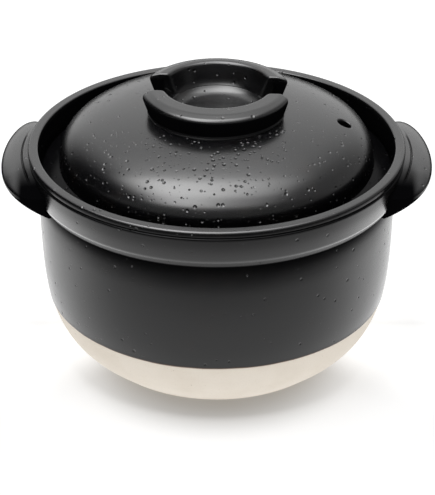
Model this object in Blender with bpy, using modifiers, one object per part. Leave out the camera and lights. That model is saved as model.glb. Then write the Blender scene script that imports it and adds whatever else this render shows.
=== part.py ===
"""Earthenware rice pot with a deep collar, two ear handles and two nested lids.

Metres, +Z up. The origin is at the middle of the foot, on the surface that the pot stands on.
The handles lie along X. The pot and both lids are turned about Z.
"""

import math

import bmesh
import bpy
from mathutils import Vector

# Fineness
STEPS = 48
KNOB_STEPS = 28
HANDLE_STEPS = 32
CORNER_STEPS = 3

# Gaps
TOUCH_GAP = 0.0003
LID_PLAY = 0.0012

# Pot wall and floor
POT_H = 0.1332
WALL_R = 0.1062
WALL_T = 0.0088
FOOT_R = 0.0740
FOOT_EDGE = 0.0016
FOOT_CURVE = 0.0186
FLOOR_T = 0.0090
FLOOR_R = 0.0580
FLOOR_CURVE = 0.0140
NECK_IN = 0.0014
NECK_H = 0.0200
GLAZE_LINE_H = 0.0388
GLAZE_T = 0.0003

# Collar, from the lip down
LIP_H = 0.0034
LIP_EDGE = 0.0018
LIP_BACK = 0.0004
GROOVE_H = 0.0010
GROOVE_DEPTH = 0.0016
BAND_H = 0.0200
BAND_OUT = 0.0060
BAND_TAPER = 0.0016
BAND_CHAMFER_H = 0.0050
BAND_CHAMFER_W = 0.0032
COLLAR_T = 0.0070
COLLAR_FLARE = 0.0006

# Seats inside the collar
LID_SEAT_DROP = 0.0185
LID_SEAT_W = 0.0060
LEDGE_W = 0.0050
LEDGE_T = 0.0060
LEDGE_SLOPE_H = 0.0090

# Outer lid
LID_T = 0.0075
LID_TURN = math.radians(-4.0)
FLANGE_T = 0.0036
FLANGE_ROOT_T = 0.0068
FLANGE_W = 0.0108
DOME_RISE = 0.0080
DOME_H = 0.0335
DOME_POWER = 2.65
STEAM_HOLE_D = 0.0080
STEAM_HOLE_OUT = 0.0752

# Split ring grip on the outer lid
GRIP_H = 0.0139
GRIP_TOP_R = 0.0447
GRIP_RING_W = 0.0132
GRIP_OVERHANG = 0.0041
GRIP_BEVEL_W = 0.0062
GRIP_BEVEL_H = 0.0019
GRIP_OUTER_EDGE = 0.0035
GRIP_EDGE = 0.0018
FRONT_CUT = 0.0072
FRONT_CORNER = 0.0060
REAR_CUT = 0.0150
REAR_CORNER = 0.0018
INNER_CORNER = 0.0090

# Well inside the ring grip, set back a little from the lid's axis
WELL_BACK = 0.0030
WELL_DEPTH = 0.0173
WELL_LEAN = 0.0046
WELL_EDGE = 0.0025
WELL_CURVE = 0.0120
WELL_FLOOR_T = 0.0060

# Inner lid
INNER_LID_T = 0.0070
INNER_LID_CROWN = 0.0050
INNER_LID_EDGE = 0.0015
LIDS_APART = 0.0040
INNER_HOLE_D = 0.0090
INNER_HOLE_OUT = 0.0520
KNOB_H = 0.0160
KNOB_R = 0.0150
KNOB_NECK_R = 0.0100
KNOB_NECK_H = 0.0060

# Ear handles
HANDLE_OUT = 0.0156
HANDLE_SPAN = 0.1259
HANDLE_H = 0.0161
HANDLE_TOP_DROP = 0.0028
HANDLE_DROOP = 0.0009
HANDLE_SQUARENESS = 2.00
HANDLE_EDGE_SQUARENESS = 2.10
HANDLE_WAIST = 0.17
HANDLE_FLARE = 0.0218
HANDLE_FLARE_CURVE = 1.13
CREASE_OUT = 0.0032
CREASE_W = 0.0014
CREASE_FRONT = math.radians(-19.0)
CREASE_REAR = math.radians(8.0)
FINGER_HOLLOW_W = 0.0110
FINGER_HOLLOW_H = 0.0210
FINGER_HOLLOW_DROP = 0.0145
FINGER_HOLLOW_SPAN = 0.0560

# Colours, as red, green, blue
GLAZE_BLACK = (0.012, 0.012, 0.013)
CLAY_CREAM = (0.78, 0.71, 0.62)

# Places that follow from the sizes
BAND_R = WALL_R + BAND_OUT
COLLAR_R = BAND_R - COLLAR_T
LID_SEAT_Z = POT_H - LID_SEAT_DROP
LID_SEAT_R = COLLAR_R - LID_SEAT_W
LEDGE_Z = LID_SEAT_Z - INNER_LID_T - LIDS_APART
LEDGE_R = LID_SEAT_R - LEDGE_W
BAND_TOP_Z = POT_H - LIP_H - GROOVE_H
BAND_BOTTOM_Z = BAND_TOP_Z - BAND_H
FLANGE_R = COLLAR_R - LID_PLAY
DOME_R = FLANGE_R - FLANGE_W
GRIP_BASE_R = GRIP_TOP_R - GRIP_OVERHANG
WELL_R = GRIP_TOP_R - GRIP_RING_W
WELL_FOOT_R = WELL_R - WELL_LEAN
GRIP_INNER_R = WELL_FOOT_R - WELL_BACK - GRIP_EDGE
HANDLE_ROOT_X = WALL_R - WALL_T
HANDLE_REACH = BAND_R + HANDLE_OUT - HANDLE_ROOT_X
HANDLE_MIDDLE_Z = POT_H - HANDLE_TOP_DROP - HANDLE_H / 2.0


def start_clean():
    """Removes every object of the start-up scene."""
    for obj in list(bpy.data.objects):
        bpy.data.objects.remove(obj, do_unlink=True)


def new_collection(name, hidden=False):
    """A collection of this name in the scene, left out of renders if hidden."""
    collection = bpy.data.collections.new(name)
    collection.hide_render = hidden
    bpy.context.scene.collection.children.link(collection)
    return collection


def new_material(name, colour, roughness):
    """A plain non-metal surface of one colour."""
    material = bpy.data.materials.new(name)
    material.use_nodes = True
    shader = material.node_tree.nodes["Principled BSDF"]
    shader.inputs["Base Color"].default_value = (*colour, 1.0)
    shader.inputs["Roughness"].default_value = roughness
    shader.inputs["Metallic"].default_value = 0.0
    return material


def new_empty(name, z, parent=None, turn=0.0):
    """An empty on the pot's axis, which carries a lid and marks the line that it lifts along."""
    empty = bpy.data.objects.new(name, None)
    empty.empty_display_size = 0.02
    parts.objects.link(empty)
    empty.parent = parent
    empty.location = (0.0, 0.0, z)
    empty.rotation_euler = (0.0, 0.0, turn)
    return empty


def place(obj, collection, parent=None, material=None):
    """Puts a new object in its collection, on its parent and in its material."""
    collection.objects.link(obj)
    obj.parent = parent
    if material:
        obj.data.materials.append(material)
    if collection is cutters:
        obj.display_type = "WIRE"
        obj.hide_render = True
    return obj


def smooth(obj, sharp_angle=math.radians(38.0)):
    """Shades the faces smooth, apart from the edges that are sharper than this."""
    obj.data.shade_smooth()
    obj.data.set_sharp_from_angle(angle=sharp_angle)


def rounded(corners, steps=CORNER_STEPS):
    """The outline through (x, z, radius) corners, each turned on its radius by steps short edges.

    A radius is limited to what its two sides have room for.
    """
    outline = []
    for index, (x, z, radius) in enumerate(corners):
        here = Vector((x, z))
        if radius <= 0.0 or index in (0, len(corners) - 1):
            outline.append(here)
            continue
        before = Vector(corners[index - 1][:2]) - here
        after = Vector(corners[index + 1][:2]) - here
        half = before.angle(after) / 2.0
        back = min(radius / math.tan(half), 0.45 * before.length, 0.45 * after.length)
        fitted = back * math.tan(half)
        middle = here + (before.normalized() + after.normalized()).normalized() * (fitted / math.sin(half))
        first = here + before.normalized() * back - middle
        turn = first.angle_signed(here + after.normalized() * back - middle)
        for step in range(steps + 1):
            angle = -turn * step / steps
            outline.append(middle + Vector((
                first.x * math.cos(angle) - first.y * math.sin(angle),
                first.x * math.sin(angle) + first.y * math.cos(angle),
            )))
    return [(point.x, point.y) for point in outline]


def spaced(start, end, count):
    """Evenly spaced numbers from start to end, both included."""
    return [start + (end - start) * step / (count - 1) for step in range(count)]


def turned(name, profile, collection, parent=None, material=None, closed=False, steps=STEPS):
    """A solid turned about Z from an (x, z) profile that runs down its outer side."""
    count = len(profile)
    mesh = bpy.data.meshes.new(name)
    edges = [(index, index + 1) for index in range(count - 1)]
    if closed:
        edges.append((count - 1, 0))
    mesh.from_pydata([(x, 0.0, z) for x, z in profile], edges, [])
    obj = place(bpy.data.objects.new(name, mesh), collection, parent, material)
    screw = obj.modifiers.new("turn", "SCREW")
    screw.axis = "Z"
    screw.steps = steps
    screw.render_steps = steps
    screw.use_merge_vertices = True
    screw.merge_threshold = 0.00001
    screw.use_smooth_shade = True
    return obj


def made_mesh(obj, name, collection, parent=None):
    """The evaluated shape of an object as a plain welded mesh, in the object's place."""
    bpy.context.view_layer.update()
    graph = bpy.context.evaluated_depsgraph_get()
    mesh = bpy.data.meshes.new_from_object(obj.evaluated_get(graph), depsgraph=graph)
    mesh.name = name
    shape = bmesh.new()
    shape.from_mesh(mesh)
    bmesh.ops.remove_doubles(shape, verts=shape.verts, dist=0.000005)
    bmesh.ops.recalc_face_normals(shape, faces=shape.faces)
    shape.to_mesh(mesh)
    shape.free()
    matrix = obj.matrix_world.copy()
    bpy.data.objects.remove(obj, do_unlink=True)
    solid = place(bpy.data.objects.new(name, mesh), collection, parent)
    bpy.context.view_layer.update()
    solid.matrix_world = matrix
    return solid


def cut(obj, cutter, operation="DIFFERENCE"):
    """Cuts the object with a cutter, by an exact Boolean."""
    boolean = obj.modifiers.new(cutter.name, "BOOLEAN")
    boolean.operation = operation
    boolean.solver = "EXACT"
    boolean.object = cutter


def wall_outside(z):
    """Outer radius of the pot at a height: the wall leaves its full radius in an even curve
    towards the foot, and draws in a little again as a neck below the band."""
    towards_foot = (WALL_R - FOOT_R) * math.exp(-z / FOOT_CURVE)
    up_neck = max(0.0, (z - BAND_BOTTOM_Z + NECK_H) / NECK_H)
    return WALL_R - towards_foot - NECK_IN * up_neck ** 2


def wall_inside(z):
    """Inner radius of the pot at a height, which curves from the flat floor into the wall."""
    full = WALL_R - WALL_T
    return full - (full - FLOOR_R) * math.exp(-(z - FLOOR_T) / FLOOR_CURVE)


def pot_outside():
    """The outer half of the pot's profile, from the lip's top down to the middle of the foot."""
    lip_r = BAND_R - LIP_BACK
    chamfer_r = BAND_R - BAND_TAPER
    collar = [
        (COLLAR_R + COLLAR_FLARE + LIP_EDGE, POT_H, 0.0),
        (lip_r, POT_H, LIP_EDGE),
        (lip_r, BAND_TOP_Z + GROOVE_H, LIP_EDGE / 2.0),
        (BAND_R - GROOVE_DEPTH, BAND_TOP_Z + GROOVE_H / 2.0, 0.0),
        (BAND_R, BAND_TOP_Z, GROOVE_H),
        (chamfer_r, BAND_BOTTOM_Z + BAND_CHAMFER_H, 2.0 * LIP_EDGE),
        (chamfer_r - BAND_CHAMFER_W, BAND_BOTTOM_Z, 0.0),
    ]
    curve = []
    for z in spaced(BAND_BOTTOM_Z, GLAZE_LINE_H, 8):
        curve.append((wall_outside(z) + GLAZE_T, z))
    bare = []
    for share in spaced(1.0, 0.0, 9):
        z = FOOT_EDGE + (GLAZE_LINE_H - GLAZE_T - FOOT_EDGE) * share ** 1.6
        bare.append((wall_outside(z), z))
    foot = [(wall_outside(FOOT_EDGE) - FOOT_EDGE, 0.0), (0.0, 0.0)]
    return rounded(collar) + curve + bare + foot


def pot_inside():
    """The inner half of the pot's profile, from the middle of the floor up to the lip."""
    slope_z = LEDGE_Z - LEDGE_T - LEDGE_SLOPE_H
    floor = [(0.0, FLOOR_T)]
    for z in (FLOOR_T + (slope_z - FLOOR_T) * share ** 1.6 for share in spaced(0.0, 1.0, 9)):
        floor.append((wall_inside(z), z))
    seats = [
        (LEDGE_R, LEDGE_Z - LEDGE_T, 0.0),
        (LEDGE_R, LEDGE_Z, 0.0),
        (LID_SEAT_R, LEDGE_Z, 0.0),
        (LID_SEAT_R, LID_SEAT_Z, 0.0),
        (COLLAR_R, LID_SEAT_Z, 0.0),
        (COLLAR_R + COLLAR_FLARE, POT_H, LIP_EDGE / 2.0),
        (COLLAR_R + COLLAR_FLARE + LIP_EDGE, POT_H, 0.0),
    ]
    return floor + rounded(seats)[:-1]


def make_pot_body():
    """The thrown pot, glazed down to a line above the foot and bare clay below it."""
    profile = pot_inside() + pot_outside()
    rough = turned("pot_body_rough", profile, parts)
    pot = made_mesh(rough, "pot_body", parts)
    pot.data.materials.append(glaze)
    pot.data.materials.append(clay)
    for face in pot.data.polygons:
        below_glaze = face.center.z < GLAZE_LINE_H - GLAZE_T / 2.0
        faces_out = face.normal.xy.dot(face.center.xy) > 0.0 or face.normal.z < -0.5
        face.material_index = int(below_glaze and faces_out)
    smooth(pot)
    return pot


def squared(value, squareness):
    """A coordinate on the unit circle, drawn out from the circle towards a square."""
    return math.copysign(abs(value) ** (2.0 / squareness), value)


def make_handle(name, side):
    """A thick clay ear: a rounded pillow, oval in plan, that droops a little towards its tip and
    flares down where it is luted to the pot, with a hollow below for the fingers."""
    shape = bmesh.new()
    bmesh.ops.create_uvsphere(shape, u_segments=HANDLE_STEPS, v_segments=HANDLE_STEPS // 2, radius=1.0)
    for vertex in shape.verts:
        ring = max(vertex.co.xy.length, 0.000001)
        width = squared(ring, HANDLE_EDGE_SQUARENESS)
        out = width * squared(vertex.co.x / ring, HANDLE_SQUARENESS)
        inward = 1.0 - min(max(out, 0.0), 1.0)
        along = width * squared(vertex.co.y / ring, HANDLE_SQUARENESS) * (1.0 - HANDLE_WAIST * inward)
        up = squared(vertex.co.z, HANDLE_EDGE_SQUARENESS)
        flare = HANDLE_FLARE * inward ** HANDLE_FLARE_CURVE * max(-up, 0.0)
        droop = HANDLE_DROOP * out ** 2
        vertex.co.x = side * (HANDLE_ROOT_X + HANDLE_REACH * out)
        vertex.co.y = HANDLE_SPAN / 2.0 * along
        vertex.co.z = HANDLE_MIDDLE_Z + HANDLE_H / 2.0 * up - flare - droop
    bmesh.ops.recalc_face_normals(shape, faces=shape.faces)
    mesh = bpy.data.meshes.new(name)
    shape.to_mesh(mesh)
    shape.free()
    handle = place(bpy.data.objects.new(name, mesh), parts, material=glaze)
    cut(handle, make_finger_hollow(name, side))
    cut(handle, make_crease(name, side))
    cut(handle, pot_envelope)
    smooth(handle)
    return handle


def make_finger_hollow(name, side):
    """A domed cutter under a handle, straight below its middle, so that the hollow is open
    downwards between the handle's two roots."""
    middle_z = POT_H - HANDLE_TOP_DROP - HANDLE_H - FINGER_HOLLOW_DROP
    shape = bmesh.new()
    bmesh.ops.create_uvsphere(shape, u_segments=20, v_segments=14, radius=1.0)
    mesh = bpy.data.meshes.new(name + "_finger_hollow")
    for vertex in shape.verts:
        ring = vertex.co.xy.length
        widened = 1.0 / ring if vertex.co.z < 0.0 and ring > 0.001 else 1.0
        vertex.co.x = side * BAND_R + vertex.co.x * widened * FINGER_HOLLOW_W
        vertex.co.y = vertex.co.y * widened * FINGER_HOLLOW_SPAN / 2.0
        vertex.co.z = middle_z + vertex.co.z * FINGER_HOLLOW_H
    shape.to_mesh(mesh)
    shape.free()
    return place(bpy.data.objects.new(name + "_finger_hollow", mesh), cutters)


def handle_top(x, y):
    """Height of a handle's upper side at a place in plan."""
    out = (x - HANDLE_ROOT_X) / HANDLE_REACH
    along = 2.0 * y / HANDLE_SPAN / (1.0 - HANDLE_WAIST * (1.0 - out))
    width = (abs(out) ** HANDLE_SQUARENESS + abs(along) ** HANDLE_SQUARENESS) ** (1.0 / HANDLE_SQUARENESS)
    up = max(0.0, 1.0 - width ** HANDLE_EDGE_SQUARENESS) ** (1.0 / HANDLE_EDGE_SQUARENESS)
    return HANDLE_MIDDLE_Z + HANDLE_H / 2.0 * up - HANDLE_DROOP * out ** 2


def make_crease(name, side):
    """A thin round cutter for the crease that is left where a handle is pressed to the collar."""
    arc = bpy.data.curves.new(name + "_crease", "CURVE")
    arc.dimensions = "3D"
    arc.bevel_depth = CREASE_W / 2.0
    arc.bevel_resolution = 1
    arc.use_fill_caps = True
    spline = arc.splines.new("POLY")
    angles = spaced(CREASE_FRONT, CREASE_REAR, 8)
    spline.points.add(len(angles) - 1)
    radius = BAND_R + CREASE_OUT
    for point, angle in zip(spline.points, angles):
        x = radius * math.cos(angle)
        y = radius * math.sin(angle)
        point.co = (side * x, y, handle_top(x, y) - CREASE_W / 4.0, 1.0)
    tube = place(bpy.data.objects.new(name + "_crease_tube", arc), cutters)
    return made_mesh(tube, name + "_crease", cutters)


def dome_outside(radius):
    """Height of the outer lid's dome over the lid's underside: a flattened oval arch."""
    share = min(radius / DOME_R, 1.0) ** DOME_POWER
    return DOME_RISE + DOME_H * (1.0 - share) ** (1.0 / DOME_POWER)


def grip_top():
    """Height of the ring grip's flat top over the lid's underside."""
    return dome_outside(GRIP_BASE_R) + GRIP_H


def arch(radius, rise, base, count):
    """Points down the dome's oval arch, from the axis to its foot, closest where it bends most."""
    points = []
    for angle in spaced(0.0, math.pi / 2.0, count):
        x = radius * math.sin(angle) ** (2.0 / DOME_POWER)
        z = base + rise * max(math.cos(angle), 0.0) ** (2.0 / DOME_POWER)
        points.append((x, z))
    return points


def outer_lid_profile():
    """The outer lid's profile: down the dome, round the flange and back up the hollow side, which
    is flat below the grip's well."""
    outside = arch(DOME_R, DOME_H, DOME_RISE, 14)
    ceiling = grip_top() - WELL_DEPTH - WELL_FLOOR_T
    hollow = [(x, min(z, ceiling)) for x, z in arch(DOME_R - LID_T, DOME_H - LID_T, DOME_RISE, 10)]
    flange = [
        (DOME_R, DOME_RISE, 0.0),
        (DOME_R, FLANGE_ROOT_T, (DOME_RISE - FLANGE_ROOT_T) / 2.0),
        (FLANGE_R, FLANGE_T, FLANGE_T / 3.0),
        (FLANGE_R, 0.0, FLANGE_T / 4.0),
        (DOME_R - LID_T, 0.0, FLANGE_T / 4.0),
        (DOME_R - LID_T, DOME_RISE, 0.0),
    ]
    return outside + rounded(flange, 2)[1:-1] + hollow[::-1]


def drill(name, radius, out, top, bottom, steps=20):
    """A round upright cutter at a distance along X from the axis."""
    shape = bmesh.new()
    bmesh.ops.create_cone(
        shape, cap_ends=True, segments=steps, radius1=radius, radius2=radius, depth=top - bottom
    )
    bmesh.ops.translate(shape, verts=shape.verts, vec=(out, 0.0, (top + bottom) / 2.0))
    mesh = bpy.data.meshes.new(name)
    shape.to_mesh(mesh)
    shape.free()
    return bpy.data.objects.new(name, mesh)


def make_grip_well(lift):
    """A round cutter for the well inside the ring grip, with a soft rim and a bowl-like foot."""
    top = grip_top() + TOUCH_GAP / 30.0
    floor_z = grip_top() - WELL_DEPTH
    profile = rounded([
        (0.0, 2.0 * top, 0.0),
        (WELL_R + 2.0 * WELL_EDGE, 2.0 * top, 0.0),
        (WELL_R + 2.0 * WELL_EDGE, top, 0.0),
        (WELL_R, top, WELL_EDGE),
        (WELL_FOOT_R, floor_z, WELL_CURVE),
        (0.0, floor_z, 0.0),
    ], 6)
    well = turned("grip_well", profile, cutters, lift)
    well.location.y = WELL_BACK
    return well


def make_outer_lid(lift):
    """The domed lid, whose flange lies on the upper seat, with one steam hole and the well."""
    lid = turned("outer_lid", outer_lid_profile(), parts, lift, glaze)
    top = DOME_RISE + DOME_H
    hole = drill("steam_hole", STEAM_HOLE_D / 2.0, STEAM_HOLE_OUT, 2.0 * top, -top)
    place(hole, cutters, lift)
    cut(lid, hole)
    cut(lid, grip_well)
    smooth(lid)
    return lid


def grip_profile():
    """Section of the ring grip before its well is cut: a flat top with a soft bevel that overhangs
    a drawn-in foot, which follows the dome at the touching gap."""
    top = grip_top()
    middle_r = (GRIP_BASE_R + GRIP_INNER_R) / 2.0
    return rounded([
        (middle_r, top, 0.0),
        (GRIP_TOP_R - GRIP_BEVEL_W, top, 2.0 * GRIP_OUTER_EDGE),
        (GRIP_TOP_R, top - GRIP_BEVEL_H, GRIP_OUTER_EDGE),
        (GRIP_BASE_R, dome_outside(GRIP_BASE_R) + TOUCH_GAP, 0.0),
        (middle_r, dome_outside(middle_r) + TOUCH_GAP, 0.0),
        (GRIP_INNER_R, dome_outside(GRIP_INNER_R) + TOUCH_GAP, 0.0),
        (GRIP_INNER_R, top, 0.0),
        (middle_r, top, 0.0),
    ])[:-1]


def arc_end(cut_at, corner, radius, inner):
    """Points round one corner of a grip arc in plan, between its straight end and a circle."""
    reach = radius + corner if inner else radius - corner
    centre = Vector((math.sqrt(reach ** 2 - (cut_at + corner) ** 2), cut_at + corner))
    start = Vector((0.0, -corner))
    to_circle = centre.normalized() * (-corner if inner else corner)
    turn = -start.angle_signed(to_circle)
    points = []
    for share in spaced(0.0, 1.0, CORNER_STEPS + 3):
        angle = turn * share
        points.append(centre + Vector((
            start.x * math.cos(angle) - start.y * math.sin(angle),
            start.x * math.sin(angle) + start.y * math.cos(angle),
        )))
    return points


def grip_outline(cut_at, corner, well_y):
    """Plan of one grip arc on the +Y side, with rounded ends, as (x, y) points. Its inner side
    runs round the well, whose middle is at well_y."""
    margin = 2.0 * TOUCH_GAP
    outer = arc_end(cut_at, corner, GRIP_TOP_R + margin, inner=False)
    inner = arc_end(cut_at - well_y, INNER_CORNER, WELL_FOOT_R - margin, inner=True)
    first = outer[-1].angle_signed(Vector((1.0, 0.0)))
    last = inner[-1].angle_signed(Vector((1.0, 0.0)))
    sweep = [Vector((math.cos(a), math.sin(a))) * outer[-1].length
             for a in spaced(first, math.pi - first, 20)]
    sweep_back = [Vector((math.cos(a), math.sin(a))) * inner[-1].length
                  for a in spaced(math.pi - last, last, 20)]
    left_outer = [Vector((-point.x, point.y)) for point in reversed(outer)]
    left_inner = [Vector((-point.x, point.y)) for point in inner]
    inside = [point + Vector((0.0, well_y)) for point in left_inner + sweep_back[1:-1] + inner[::-1]]
    return outer + sweep[1:-1] + left_outer + inside


def make_grip(name, side, cut_at, corner, lift):
    """One arc of the split ring grip: the turned ring, kept where it lies inside the arc's plan,
    with the well cut out of it."""
    ring = turned(name, grip_profile(), parts, lift, glaze, closed=True)
    top = grip_top()
    plan = bpy.data.curves.new(name + "_plan", "CURVE")
    plan.dimensions = "2D"
    plan.fill_mode = "BOTH"
    plan.extrude = top / 2.0 - GRIP_EDGE / 2.0
    plan.bevel_depth = GRIP_EDGE / 2.0
    plan.offset = -GRIP_EDGE / 2.0
    plan.bevel_resolution = 1
    spline = plan.splines.new("POLY")
    points = grip_outline(cut_at, corner, side * WELL_BACK)
    spline.points.add(len(points) - 1)
    for point, (x, y) in zip(spline.points, points):
        point.co = (side * x, side * y, 0.0, 1.0)
    spline.use_cyclic_u = True
    flat = place(bpy.data.objects.new(name + "_flat_plan", plan), cutters, lift)
    flat.location.z = top / 2.0 + TOUCH_GAP
    prism = made_mesh(flat, name + "_plan", cutters, lift)
    cut(ring, prism, "INTERSECT")
    cut(ring, grip_well)
    smooth(ring)
    return ring


def make_inner_lid(lift):
    """The flat pressing lid: crowned above, hollowed a little below, with two steam holes."""
    radius = LID_SEAT_R - LID_PLAY
    crown = spaced(0.0, 1.0, 6)
    above = [(radius * share, INNER_LID_T + INNER_LID_CROWN * (1.0 - share ** 2)) for share in crown[:-1]]
    foot_r = LEDGE_R - LEDGE_W
    below = [(foot_r * share, INNER_LID_CROWN * (1.0 - share ** 2)) for share in crown[::-1]]
    rim = [
        (*above[-1], 0.0),
        (radius, INNER_LID_T, INNER_LID_EDGE),
        (radius, 0.0, INNER_LID_EDGE),
        (*below[0], 0.0),
    ]
    lid = turned("inner_lid", above[:-1] + rounded(rim, 2) + below[1:], parts, lift, glaze)
    top = INNER_LID_T + INNER_LID_CROWN
    for side in (-1.0, 1.0):
        name = "inner_hole_left" if side < 0.0 else "inner_hole_right"
        hole = drill(name, INNER_HOLE_D / 2.0, side * INNER_HOLE_OUT, 2.0 * top, -top)
        place(hole, cutters, lift)
        cut(lid, hole)
    smooth(lid)
    return lid


def make_inner_lid_knob(lift):
    """The turned knob in the middle of the inner lid, which stands on its crown."""
    base = INNER_LID_T + INNER_LID_CROWN + TOUCH_GAP
    profile = rounded([
        (0.0, base + KNOB_H, 0.0),
        (KNOB_R, base + KNOB_H, KNOB_R / 3.0),
        (KNOB_R, base + KNOB_NECK_H + KNOB_R / 5.0, KNOB_R / 6.0),
        (KNOB_NECK_R, base + KNOB_NECK_H, KNOB_R / 6.0),
        (KNOB_NECK_R, base, 0.0),
        (0.0, base, 0.0),
    ])
    knob = turned("inner_lid_knob", profile, parts, lift, glaze, steps=KNOB_STEPS)
    smooth(knob)
    return knob


def make_pot_envelope():
    """A solid cutter with the pot's outside, grown by the touching gap, that shapes the handles."""
    grown = [(x + TOUCH_GAP, z) for x, z in pot_outside()[:-2]]
    top = [(0.0, 2.0 * POT_H), (grown[0][0], 2.0 * POT_H)]
    foot = [(grown[-1][0], -POT_H), (0.0, -POT_H)]
    return turned("pot_envelope", top + grown + foot, cutters)


start_clean()
parts = new_collection("rice_pot")
cutters = new_collection("rice_pot_cutters", hidden=True)
glaze = new_material("black_glaze", GLAZE_BLACK, 0.30)
clay = new_material("bare_clay", CLAY_CREAM, 0.85)

make_pot_body()
pot_envelope = make_pot_envelope()
make_handle("handle_left", -1.0)
make_handle("handle_right", 1.0)

inner_lift = new_empty("inner_lid_lift", LEDGE_Z + TOUCH_GAP)
make_inner_lid(inner_lift)
make_inner_lid_knob(inner_lift)

outer_lift = new_empty("outer_lid_lift", LID_SEAT_Z - LEDGE_Z, inner_lift, LID_TURN)
grip_well = make_grip_well(outer_lift)
make_outer_lid(outer_lift)
make_grip("lid_grip_front", -1.0, FRONT_CUT, FRONT_CORNER, outer_lift)
make_grip("lid_grip_rear", 1.0, REAR_CUT, REAR_CORNER, outer_lift)
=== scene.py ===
"""Visual model of a lidded earthenware rice pot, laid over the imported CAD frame.

Lengths are in metres, +Z is up and the origin is the middle of the pot's foot. Every visible
surface is a grid of points worked out with numpy, and each finish is a small class that builds
its shader from Object coordinates. The CAD nodes stay where they are and are stood for by pieces
of the same form with finer detail.
"""

import logging
import math
from dataclasses import dataclass
from enum import Enum
from typing import Callable, Union

import bmesh
import bpy
import numpy as np
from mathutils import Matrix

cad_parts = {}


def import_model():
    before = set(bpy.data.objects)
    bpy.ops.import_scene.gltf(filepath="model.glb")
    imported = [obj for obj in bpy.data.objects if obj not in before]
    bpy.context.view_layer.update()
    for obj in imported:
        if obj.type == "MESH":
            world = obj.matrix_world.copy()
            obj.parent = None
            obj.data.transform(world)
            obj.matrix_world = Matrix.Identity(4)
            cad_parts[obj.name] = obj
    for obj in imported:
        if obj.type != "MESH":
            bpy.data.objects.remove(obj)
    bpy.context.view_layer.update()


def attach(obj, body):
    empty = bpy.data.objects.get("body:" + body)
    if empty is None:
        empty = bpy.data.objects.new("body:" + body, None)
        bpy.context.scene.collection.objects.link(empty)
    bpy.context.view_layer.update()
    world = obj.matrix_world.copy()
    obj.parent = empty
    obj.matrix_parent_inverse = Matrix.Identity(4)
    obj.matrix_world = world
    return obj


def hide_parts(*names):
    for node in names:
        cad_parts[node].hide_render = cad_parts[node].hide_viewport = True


log = logging.getLogger("rice_pot")

HeightOver = Callable[[np.ndarray], np.ndarray]
Mark = Callable[[np.ndarray], np.ndarray]
Colour = tuple[float, float, float]
Span = tuple[float, float]
WHITE = (1.0, 1.0, 1.0, 1.0)


class Side(Enum):
    """The side of the pot that an ear handle is luted to."""

    LEFT = -1.0
    RIGHT = 1.0


class Arc(Enum):
    """The half of the split ring grip that an arc makes."""

    FRONT = -1.0
    REAR = 1.0


# ---------------------------------------------------------------------------------------------
# Surfaces


def filleted(corners: list[tuple[float, float, float]], steps: int = 8) -> np.ndarray:
    """Outline through corners, each turned on its own radius.

    A corner whose sides leave it along the unit vectors a and b, which enclose the angle 2h, gets
    an arc that starts and ends at the distance radius / tan(h) on the sides, about a centre at
    corner + (a + b) / |a + b| * back / cos(h), where back is that distance. The arc's points are
    the spherical blend of the two spokes.

    Args:
        corners: (r, z, radius) of each corner, in order.
        steps: Short edges in each arc.

    Returns:
        An array of (r, z) points.
    """
    table = np.array(corners, dtype=float)
    here, radius = table[1:-1, :2], table[1:-1, 2:]
    towards = table[:-2, :2] - here
    onwards = table[2:, :2] - here
    length_a = np.linalg.norm(towards, axis=1, keepdims=True)
    length_b = np.linalg.norm(onwards, axis=1, keepdims=True)
    towards, onwards = towards / length_a, onwards / length_b
    full = np.arccos(np.clip((towards * onwards).sum(1, keepdims=True), -0.999999, 0.999999))
    half = full / 2.0
    back = np.minimum(radius / np.tan(half), 0.45 * np.minimum(length_a, length_b))
    middle = towards + onwards
    centre = here + middle / np.linalg.norm(middle, axis=1, keepdims=True) * back / np.cos(half)
    first, last = here + towards * back - centre, here + onwards * back - centre
    sweep = (np.pi - full)[:, :, None]
    share = np.linspace(0.0, 1.0, steps + 1)[None, :, None]
    arcs = (np.sin((1.0 - share) * sweep) * first[:, None] + np.sin(share * sweep) * last[:, None])
    arcs = centre[:, None] + arcs / np.sin(sweep)
    points = np.vstack([table[:1, :2], arcs.reshape(-1, 2), table[-1:, :2]])
    apart = np.linalg.norm(np.diff(points, axis=0), axis=1) > 1e-7
    return points[np.concatenate([[True], apart])]


def filled_in(outline: np.ndarray, spacing: float) -> np.ndarray:
    """The outline with points added, so that no two neighbours are further apart than spacing.

    A side of length l is divided into ceil(l / spacing) equal steps.

    Args:
        outline: (n, 2) points.
        spacing: The longest step allowed.

    Returns:
        The denser outline, with both ends kept.
    """
    step = np.diff(outline, axis=0)
    parts = np.maximum(np.ceil(np.linalg.norm(step, axis=1) / spacing), 1).astype(int)
    side = np.repeat(np.arange(len(step)), parts)
    share = (np.arange(len(side)) - np.repeat(np.cumsum(parts) - parts, parts)) / parts[side]
    return np.vstack([outline[side] + step[side] * share[:, None], outline[-1:]])


def round_angles(columns: int) -> np.ndarray:
    """A row of even steps of the angle in a full turn."""
    return np.linspace(0.0, 2.0 * np.pi, columns, endpoint=False)[None, :]


def placed(radius: np.ndarray, angle: np.ndarray, height: np.ndarray) -> np.ndarray:
    """Points at a distance from the axis, an angle about it and a height."""
    x, y = radius * np.cos(angle), radius * np.sin(angle)
    return np.stack([x, y, np.broadcast_to(height, x.shape)], axis=-1)


def out_and_up(points: np.ndarray) -> tuple[np.ndarray, np.ndarray]:
    """The points' distances from the axis, and their heights."""
    return np.hypot(points[..., 0], points[..., 1]), points[..., 2]


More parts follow.
